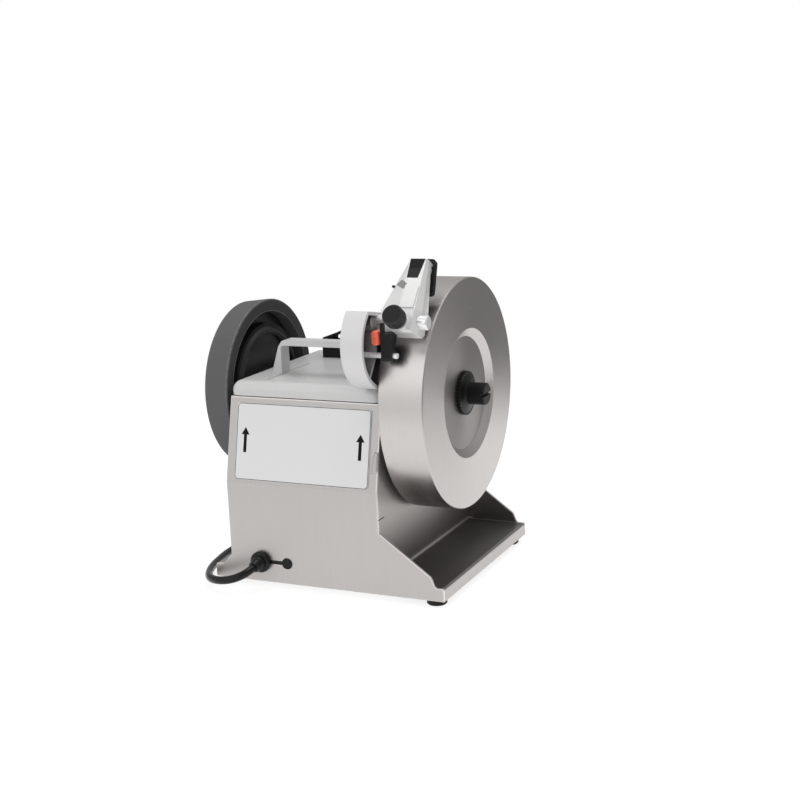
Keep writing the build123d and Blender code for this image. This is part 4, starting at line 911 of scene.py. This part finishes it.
@dataclass
class NamePlate:
    """Marks on the bare plate of the leaning panel: a thin dark frame line near its edge and two printed
    arrows.
    """

    middle_x: float = -72.15
    plate_thick: float = 0.8
    lift: float = 0.06
    half_width: float = 64.15
    low: float = 2.5
    high: float = 68.81
    line_inset: float = 0.35
    line_width: float = 0.45
    line_steps: int = 96
    corner: float = 3.6
    nudge: float = 1e-9
    arrow_x: float = 55.2
    arrow_low: float = 26.1
    arrow_high: float = 47.8
    arrow_columns: int = 5
    head_low: float = 41.4
    head_half: float = 3.95
    head_rows: int = 7
    tip_half: float = 0.04
    shaft_half: float = 1.5
    shaft_rows: int = 5

    def on_plate(self, across: np.ndarray, up: np.ndarray) -> np.ndarray:
        """Points just over the plate, in metres of the shared frame, from distances across and up it."""
        return LeaningPanel().points(self.middle_x + across, up, self.plate_thick + self.lift)

    def arrow(self, name: str, side: float) -> bpy.types.Object:
        """Arrow: across = side * arrow_x + s * w(v), with w steady on the shaft and falling to 0 on the head.

        Args:
            name: Name of the piece.
            side: -1 for the left one, 1 for the right one.

        Returns:
            The new object.
        """
        shaft = np.linspace(self.arrow_low, self.head_low, self.shaft_rows)
        head = np.linspace(self.head_low, self.arrow_high, self.head_rows)
        up = np.concatenate([shaft, head])
        falling = self.head_half * (self.arrow_high - up) / (self.arrow_high - self.head_low)
        half = np.where(np.arange(up.size) < self.shaft_rows, self.shaft_half, falling)
        half = np.maximum(half, self.tip_half)
        share = np.linspace(-1.0, 1.0, self.arrow_columns)
        across = side * self.arrow_x + half[:, None] * share[None, :]
        points = self.on_plate(across, np.broadcast_to(up[:, None], across.shape))
        return grid_piece(name, points.transpose(1, 0, 2)[::-1])

    def frame_line(self) -> bpy.types.Object:
        """Frame line: a rounded rectangle carried round as a strip from one inset to the next.

        Returns:
            The new object.
        """
        turn = full_turn(self.line_steps)
        half_height = (self.high - self.low) / 2.0
        inset = self.line_inset + np.array([0.0, self.line_width])[None, :]
        corner_x = np.sign(np.cos(turn + self.nudge))[:, None] * (self.half_width - self.corner)
        corner_v = np.sign(np.sin(turn + self.nudge))[:, None] * (half_height - self.corner)
        across = corner_x + (self.corner - inset) * np.cos(turn)[:, None]
        up = (self.low + self.high) / 2.0 + corner_v + (self.corner - inset) * np.sin(turn)[:, None]
        return grid_piece("plate_frame_line", self.on_plate(across, up), Sweep.ROUND)

    def build(self) -> None:
        """Makes the marks and lets them ride on the housing."""
        for name, side in (("plate_arrow_left", -1.0), ("plate_arrow_right", 1.0)):
            finish_piece(self.arrow(name, side), INK, "base")
        finish_piece(self.frame_line(), INK, "base")


@dataclass
class PanelDetails:
    """Small cuts and lugs of the folded housing."""

    slit_y0: float = -96.6
    slit_y1: float = -84.6
    slit_z: float = 70.6
    slit_half: float = 0.45
    slit_end: float = 0.01
    slit_power: int = 8
    slit_rows: int = 25
    slit_lift: float = 0.05
    lug_low: float = 16.5
    lug_high: float = 34.0
    lug_left: float = -5.9
    lug_right: float = 0.15
    lug_rise: float = 1.5
    lug_power: float = 0.4
    lug_margin: float = 0.02
    lug_narrow: float = 0.35
    lug_from: float = 1.15
    lug_close: float = 14.0
    lug_grid: tuple[int, int] = (19, 15)

    def slit(self) -> bpy.types.Object:
        """Slit: a flat dark strip on the wall with round ends, half width h * sqrt(1 - t^8), painted shade
        for the slit's opening.

        Returns:
            The new object.
        """
        t = np.linspace(-1.0, 1.0, self.slit_rows)
        half = self.slit_half * np.sqrt(np.clip(1.0 - t**self.slit_power, 0.0, 1.0))
        half = np.maximum(half, self.slit_end)
        y = (self.slit_y0 + self.slit_y1) / 2.0 + t * (self.slit_y1 - self.slit_y0) / 2.0
        z = self.slit_z + half[:, None] * np.array([-1.0, 1.0])[None, :]
        x = np.full_like(z, self.slit_lift)
        points = np.stack([x, np.broadcast_to(y[:, None], z.shape), z], axis=-1)
        return grid_piece("wall_slit", shared(points))

    def lug(self) -> bpy.types.Object:
        """Folded lug at the panel's edge: a sheet that lifts off the panel by r * sin(pi * s) ** 0.4.

        It narrows up the panel, and its ends close onto the panel.

        Returns:
            The new object.
        """
        v, s = (np.linspace(0.0, 1.0, count) for count in self.lug_grid)
        inner = np.clip(s, self.lug_margin, 1.0 - self.lug_margin)
        rise = self.lug_rise * np.sin(math.pi * inner) ** self.lug_power
        taper = self.lug_narrow + (1.0 - self.lug_narrow) * np.clip(self.lug_from - v, 0.0, 1.0) ** 0.5
        left = self.lug_left * taper[:, None]
        across = left + (self.lug_right - left) * s[None, :]
        up = self.lug_low + (self.lug_high - self.lug_low) * v[:, None] + 0.0 * across
        close = np.clip(np.minimum(v, 1.0 - v) * self.lug_close, 0.0, 1.0) ** 0.5
        points = LeaningPanel().points(across, up, rise[None, :] * close[:, None])
        return grid_piece("panel_lug", points[::-1], smooth=True)

    def build(self) -> None:
        """Makes the details and lets them ride on the housing."""
        # The slit is a strip of painted shade.
        finish_piece(self.slit(), SHADOW_GAP, "base")
        finish_piece(self.lug(), FINISHES["housing_steel"], "base")


@dataclass
class GuideDetails:
    """Small stop pin, and painted shade in the shallow pocket in the left facet of the knife guide."""

    middle_x: float = 26.0
    bar_y: float = -84.0
    bar_z: float = 235.7
    lean: float = 32.0
    shoulder: float = 8.5
    rise: float = 48.5
    flat_edge: tuple[Point, Point] = ((-3.5, -9.0, 0.0), (-7.3, 1.5, 48.5))
    side_edge: tuple[Point, Point] = ((-21.4, -3.0, 0.0), (-8.5, 4.5, 48.5))
    facet_out: Point = (-0.43, -0.90, 0.0)
    panel_edge_x: float = 22.4
    panel_rise: float = 1.27
    pocket_tip: Point = (23.8, 31.3, 31.7)
    pocket_bend: Range = (29.7, 32.7)
    pocket_ridge: Range = (27.2, 34.4)
    pocket_low: Range = (0.94, 33.2)
    pocket_high: Range = (0.50, 37.2)
    pocket_lift: float = 0.10
    pocket_steps: int = 9
    pin_at: Point = (9.9, 0.7, 31.2)
    pin_axis: Point = (-0.80, -0.60, 0.0)
    pin_side: Point = (-0.60, 0.80, 0.0)
    pin_above: Point = (0.0, 0.0, 1.0)
    pin_r: float = 1.25
    pin_out: float = 2.0
    pin_rows: int = 14
    pin_steps: int = 24

    def machine(self, points: np.ndarray) -> np.ndarray:
        """Points of the guide's leaning frame (x, rearwards, up the blade) in the shared frame.

        Args:
            points: Array whose last axis is x, ly, lz.

        Returns:
            Points in metres.
        """
        lean = math.radians(self.lean)
        x, ly, lz = points[..., 0], points[..., 1], points[..., 2]
        y = self.bar_y + ly * math.cos(lean) + lz * math.sin(lean)
        z = self.bar_z - ly * math.sin(lean) + lz * math.cos(lean)
        return shared(np.stack([x, y, z], axis=-1))

    def facet(self, share: np.ndarray, height: np.ndarray) -> np.ndarray:
        """Left facet: straight lines from the front flat's edge to the side's edge, at each height.

        Args:
            share: 0 at the flat's edge, 1 at the side's edge.
            height: Distance up the blade from the bar.

        Returns:
            Points of the guide's frame in millimetres.
        """
        up = ((height - self.shoulder) / self.rise)[..., None]
        near, far = (between(*np.array(edge), up) for edge in (self.flat_edge, self.side_edge))
        return near + share[..., None] * (far - near) + np.array([self.middle_x, 0.0, self.shoulder])

    def pocket_face(self) -> bpy.types.Object:
        """Pocket: a dark sheet of painted shade from the panel over the ridge, then on the facet to its tip,
        between two borders.

        Returns:
            The new object.
        """
        rise = np.linspace(0.0, 1.0, self.pocket_steps)[:, None]
        run = rise.T
        level = np.array([self.pocket_tip[1:], self.pocket_bend])
        x = np.broadcast_to([[self.pocket_tip[0]], [self.panel_edge_x]], level.shape)
        slope = between(self.flat_edge[0][1], self.flat_edge[1][1], (level - self.shoulder) / self.rise)
        panel = np.stack([x, slope - self.panel_rise, level], axis=-1)[None]
        panel = between(panel[:, :, 0], panel[:, :, 1], rise[:, :, None])
        share, height = (between(low, high, rise) for low, high in zip(self.pocket_low, self.pocket_high))
        start = between(*self.pocket_ridge, rise)
        face = self.facet(share * run, start + (height - start) * run)
        points = np.concatenate([panel, face + self.pocket_lift * np.array(self.facet_out)], axis=1)
        return grid_piece("guide_facet_pocket", self.machine(points))

    def pin(self) -> bpy.types.Object:
        """Pin head: a dome turned about its own axis, radius r * cos(a), height out * sin(a).

        Returns:
            The new object.
        """
        tilt = np.linspace(-0.5 * math.pi, 0.5 * math.pi, self.pin_rows)[:, None, None]
        turn = full_turn(self.pin_steps)[None, :, None]
        ring = np.cos(turn) * np.array(self.pin_side) + np.sin(turn) * np.array(self.pin_above)
        dome = np.array(self.pin_at) + self.pin_r * np.cos(tilt) * ring
        points = dome + self.pin_out * np.sin(tilt) * np.array(self.pin_axis)
        return grid_piece("guide_stop_pin", self.machine(points), Sweep.ACROSS, smooth=True)

    def build(self) -> None:
        """Makes the pin and the pocket and lets them ride on the guide."""
        finish_piece(self.pin(), FINISHES["black_plastic"], "guide")
        finish_piece(self.pocket_face(), POCKET_SHADE, "guide")


@dataclass
class MainsLead:
    """The lead: free stretch from the gland, then the tied coil behind the machine."""

    radius: float = 3.5
    gland: Point = (-114.0, -102.25, 24.3)
    exit_turn: float = 14.0
    exit_drop: float = 18.0
    nose: float = 7.5
    first_run: float = 6.0
    last_run: float = 6.0
    coil_x: float = -107.0
    coil_y: float = 178.0
    coil_z: float = 4.9
    coil_rise: float = 8.0
    radii: tuple[float, ...] = (53.2, 49.0, 44.8, 40.6, 36.4, 32.2, 26.0)
    steps: int = 8
    order: int = 3
    line_steps: int = 6
    round_steps: int = 5
    route: tuple[Point, ...] = (
        (-122.0, -120.2, 17.2), (-129.4, -123.6, 14.6), (-138.6, -123.6, 12.6), (-147.6, -120.8, 11.2),
        (-156.4, -114.8, 10.0), (-164.6, -105.2, 8.8), (-172.6, -91.0, 7.5), (-179.6, -74.0, 6.2),
        (-185.0, -55.0, 5.1), (-190.0, -33.0, 4.2), (-191.2, -9.5, 3.6), (-190.8, 15.5, 3.5),
        (-189.0, 40.0, 3.5), (-185.4, 64.5, 3.5), (-180.0, 88.5, 3.6), (-173.4, 111.5, 3.8),
        (-166.5, 132.5, 4.2), (-161.4, 152.0, 4.7), (-160.2, 163.0, 4.9),
    )

    def exit_points(self) -> np.ndarray:
        """Start at the gland's tip and first point, along the direction in which the lead leaves it.

        Returns:
            Two points in millimetres.
        """
        turn, drop = math.radians(self.exit_turn), math.radians(self.exit_drop)
        level = np.array([-math.sin(turn), -math.cos(turn)]) * math.cos(drop)
        ahead = np.array([*level, -math.sin(drop)])
        return np.array(self.gland) + np.outer([self.nose, self.nose + self.first_run], ahead)

    def coil_points(self) -> np.ndarray:
        """Coil: clockwise, its radius falling half turn by half turn on the floor and rising again on top.

        Returns:
            Control points in millimetres, pushed out by 1 / cos(half a step) to keep the line's radius.
        """
        stations = np.array(self.radii + self.radii[::-1])
        heights = np.array([0.0] * len(self.radii) + [self.coil_rise] * len(self.radii))
        half = np.linspace(0.0, stations.size - 1.0, (stations.size - 1) * self.steps + 1)
        radius = np.interp(half, np.arange(stations.size), stations) / math.cos(math.pi / self.steps / 2.0)
        rise = np.interp(half, np.arange(stations.size), heights)
        turn = half * math.pi
        x = self.coil_x - radius * np.cos(turn)
        y = self.coil_y + radius * np.sin(turn)
        return np.stack([x, y, self.coil_z + rise], axis=-1)[1:-1]

    def build(self, nodes: dict[str, bpy.types.Object]) -> None:
        """Args:
            nodes: The solid model's objects by name; not used.
        """
        plug_y = self.coil_y - 2.0 * self.radius
        end = np.array([[self.coil_x + self.radii[0], plug_y, self.coil_z + self.coil_rise]])
        near = end + np.array([[0.0, self.last_run, 0.0]])
        points = shared(np.vstack([self.exit_points(), np.array(self.route), self.coil_points(), near, end]))
        curve = bpy.data.curves.new("mains_lead", "CURVE")
        curve.dimensions = "3D"
        curve.bevel_depth = self.radius / MM
        curve.bevel_resolution = self.round_steps
        curve.resolution_u = self.line_steps
        curve.use_fill_caps = True
        spline = curve.splines.new("NURBS")
        spline.points.add(len(points) - 1)
        spline.points.foreach_set("co", np.hstack([points, np.ones((len(points), 1))]).ravel())
        spline.order_u = self.order
        spline.use_endpoint_u = True
        piece = bpy.data.objects.new("mains_lead", curve)
        bpy.context.scene.collection.objects.link(piece)
        finish_piece(piece, LEAD_RUBBER, "base")
        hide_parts("power_cord", "cord_coil")


@dataclass(frozen=True)
class Lobe:
    """Soft patch of light or shade in the surroundings, over a reach of the cosine to its direction."""

    direction: Point
    reach: Range
    strength: float


@dataclass(frozen=True)
class Lamp:
    """Square soft light, with its place, aim and side in metres and its power in watts."""

    name: str
    spot: Point
    aim: Point
    size: float
    power: float
    in_reflections: bool = True

    def build(self) -> None:
        """Makes the light and turns it to its aim."""
        data = bpy.data.lights.new(self.name, "AREA")
        data.size = self.size
        data.energy = self.power
        lamp = bpy.data.objects.new(self.name, data)
        lamp.location = self.spot
        lamp.visible_glossy = self.in_reflections
        lamp.rotation_euler = (Vector(self.aim) - Vector(self.spot)).to_track_quat("-Z", "Y").to_euler()
        bpy.context.scene.collection.objects.link(lamp)


@dataclass
class Studio:
    """Camera, floor and soft light, in metres of the shared frame."""

    eye: Point = (0.56677, -1.10912, 0.41668)
    right: Point = (0.90638, 0.42031, -0.04254)
    above: Point = (-0.05049, 0.20777, 0.97687)
    ahead: Point = (-0.41943, 0.88327, -0.20954)
    lens: float = 64.5975
    sensor: float = 36.0
    nearest: float = 0.02
    floor_reach: Range = (0.002, 0.78)
    floor_grid: tuple[int, int] = (12, 96)
    floor_tone: float = 0.30
    floor_glow: float = 0.82
    floor_rough: float = 0.9
    floor_shine: float = 0.1
    white: tuple[float, float, float, float] = (1.0, 1.0, 1.0, 1.0)
    below: float = 0.30
    zenith: float = 0.55
    zenith_span: Range = (-0.3, 0.9)
    lobes: tuple[Lobe, ...] = (
        Lobe((-0.55, -0.80, 0.12), (0.35, 0.95), 0.50),
        Lobe((-0.42, -0.77, 0.48), (0.905, 0.99), 0.49),
        Lobe((0.42, 0.88, -0.12), (0.70, 0.97), -0.08),
    )
    lamps: tuple[Lamp, ...] = (
        Lamp("key light", (-1.2, -1.7, 1.5), (0.0, 0.0, 0.15), 1.2, 5.6, False),
        Lamp("top light", (0.1, 0.3, 2.1), (0.0, 0.0, 0.1), 1.4, 17.5),
        Lamp("side light", (1.5, -1.4, 0.9), (0.0, 0.0, 0.2), 0.8, 5.0, False),
    )

    def camera(self) -> None:
        """Sets the camera from its eye point and its three directions."""
        data = bpy.data.cameras.new("camera")
        data.lens = self.lens
        data.sensor_width = self.sensor
        data.clip_start = self.nearest
        camera = bpy.data.objects.new("camera", data)
        turn = Matrix((self.right, self.above, tuple(-part for part in self.ahead))).transposed()
        camera.matrix_world = Matrix.Translation(self.eye) @ turn.to_4x4()
        bpy.context.scene.collection.objects.link(camera)
        bpy.context.scene.camera = camera

    def floor(self) -> None:
        """Round pale floor: x = r cos(a), y = r sin(a), at height 0."""
        rings, steps = self.floor_grid
        reach, turn = np.meshgrid(np.linspace(*self.floor_reach, rings), full_turn(steps), indexing="ij")
        flat = np.stack([reach * np.cos(turn), reach * np.sin(turn), np.zeros_like(turn)], axis=-1)
        piece = grid_piece("floor", flat, Sweep.ACROSS)
        graph = Graph("pale floor")
        graph.feed(graph.shader, Base_Color=(self.floor_tone,) * 3 + (1.0,))
        graph.feed(graph.shader, Roughness=self.floor_rough, Specular_IOR_Level=self.floor_shine)
        graph.feed(graph.shader, Emission_Color=self.white, Emission_Strength=self.floor_glow)
        piece.data.materials.append(graph.material)
        piece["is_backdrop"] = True

    def surroundings(self) -> None:
        """White background to the eye; to the surfaces a dim room, lighter above and at each soft lobe."""
        world = bpy.data.worlds.new("studio")
        bpy.context.scene.world = world
        world.use_nodes = True
        nodes = Nodes(world.node_tree)
        heading = nodes.add("ShaderNodeTexCoord").outputs["Generated"]
        light: object = self.below
        for lobe in (Lobe((0.0, 0.0, 1.0), self.zenith_span, self.zenith - self.below), *self.lobes):
            facing = nodes.dot(heading, Vector(lobe.direction).normalized())
            light = nodes.maths("ADD", nodes.span(facing, lobe.reach, (0.0, lobe.strength)), light)
        room, seen = nodes.tree.nodes["Background"], nodes.add("ShaderNodeBackground")
        nodes.feed(room, Color=self.white, Strength=light)
        nodes.feed(seen, Color=self.white)
        to_eye = nodes.add("ShaderNodeLightPath").outputs["Is Camera Ray"]
        mix = nodes.add("ShaderNodeMixShader", to_eye, room.outputs[0], seen.outputs[0])
        nodes.feed(nodes.tree.nodes["World Output"], Surface=mix.outputs[0])

    def build(self) -> None:
        """Sets up camera, floor, lights and background."""
        self.camera()
        self.floor()
        for lamp in self.lamps:
            lamp.build()
        self.surroundings()
        bpy.context.scene.view_settings.view_transform = "Standard"


def as_lists(box: Iterable[Iterable[float]]) -> list[list[float]]:
    """Corners of a box as plain lists of numbers."""
    return [[float(part) for part in corner] for corner in box]


def main(solid_box: list[list[float]]) -> None:
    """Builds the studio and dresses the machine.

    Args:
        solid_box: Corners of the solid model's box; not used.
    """
    logging.basicConfig(level=logging.INFO, format="%(name)s: %(message)s")
    Studio().build()
    MainsLead().build(frame["nodes"])
    CadDress(frame["record"]).dress(frame["nodes"])
    for part in (NamePlate(), PanelDetails(), GuideDetails()):
        part.build()


if __name__ == "__main__":
    main(as_lists(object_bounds()))
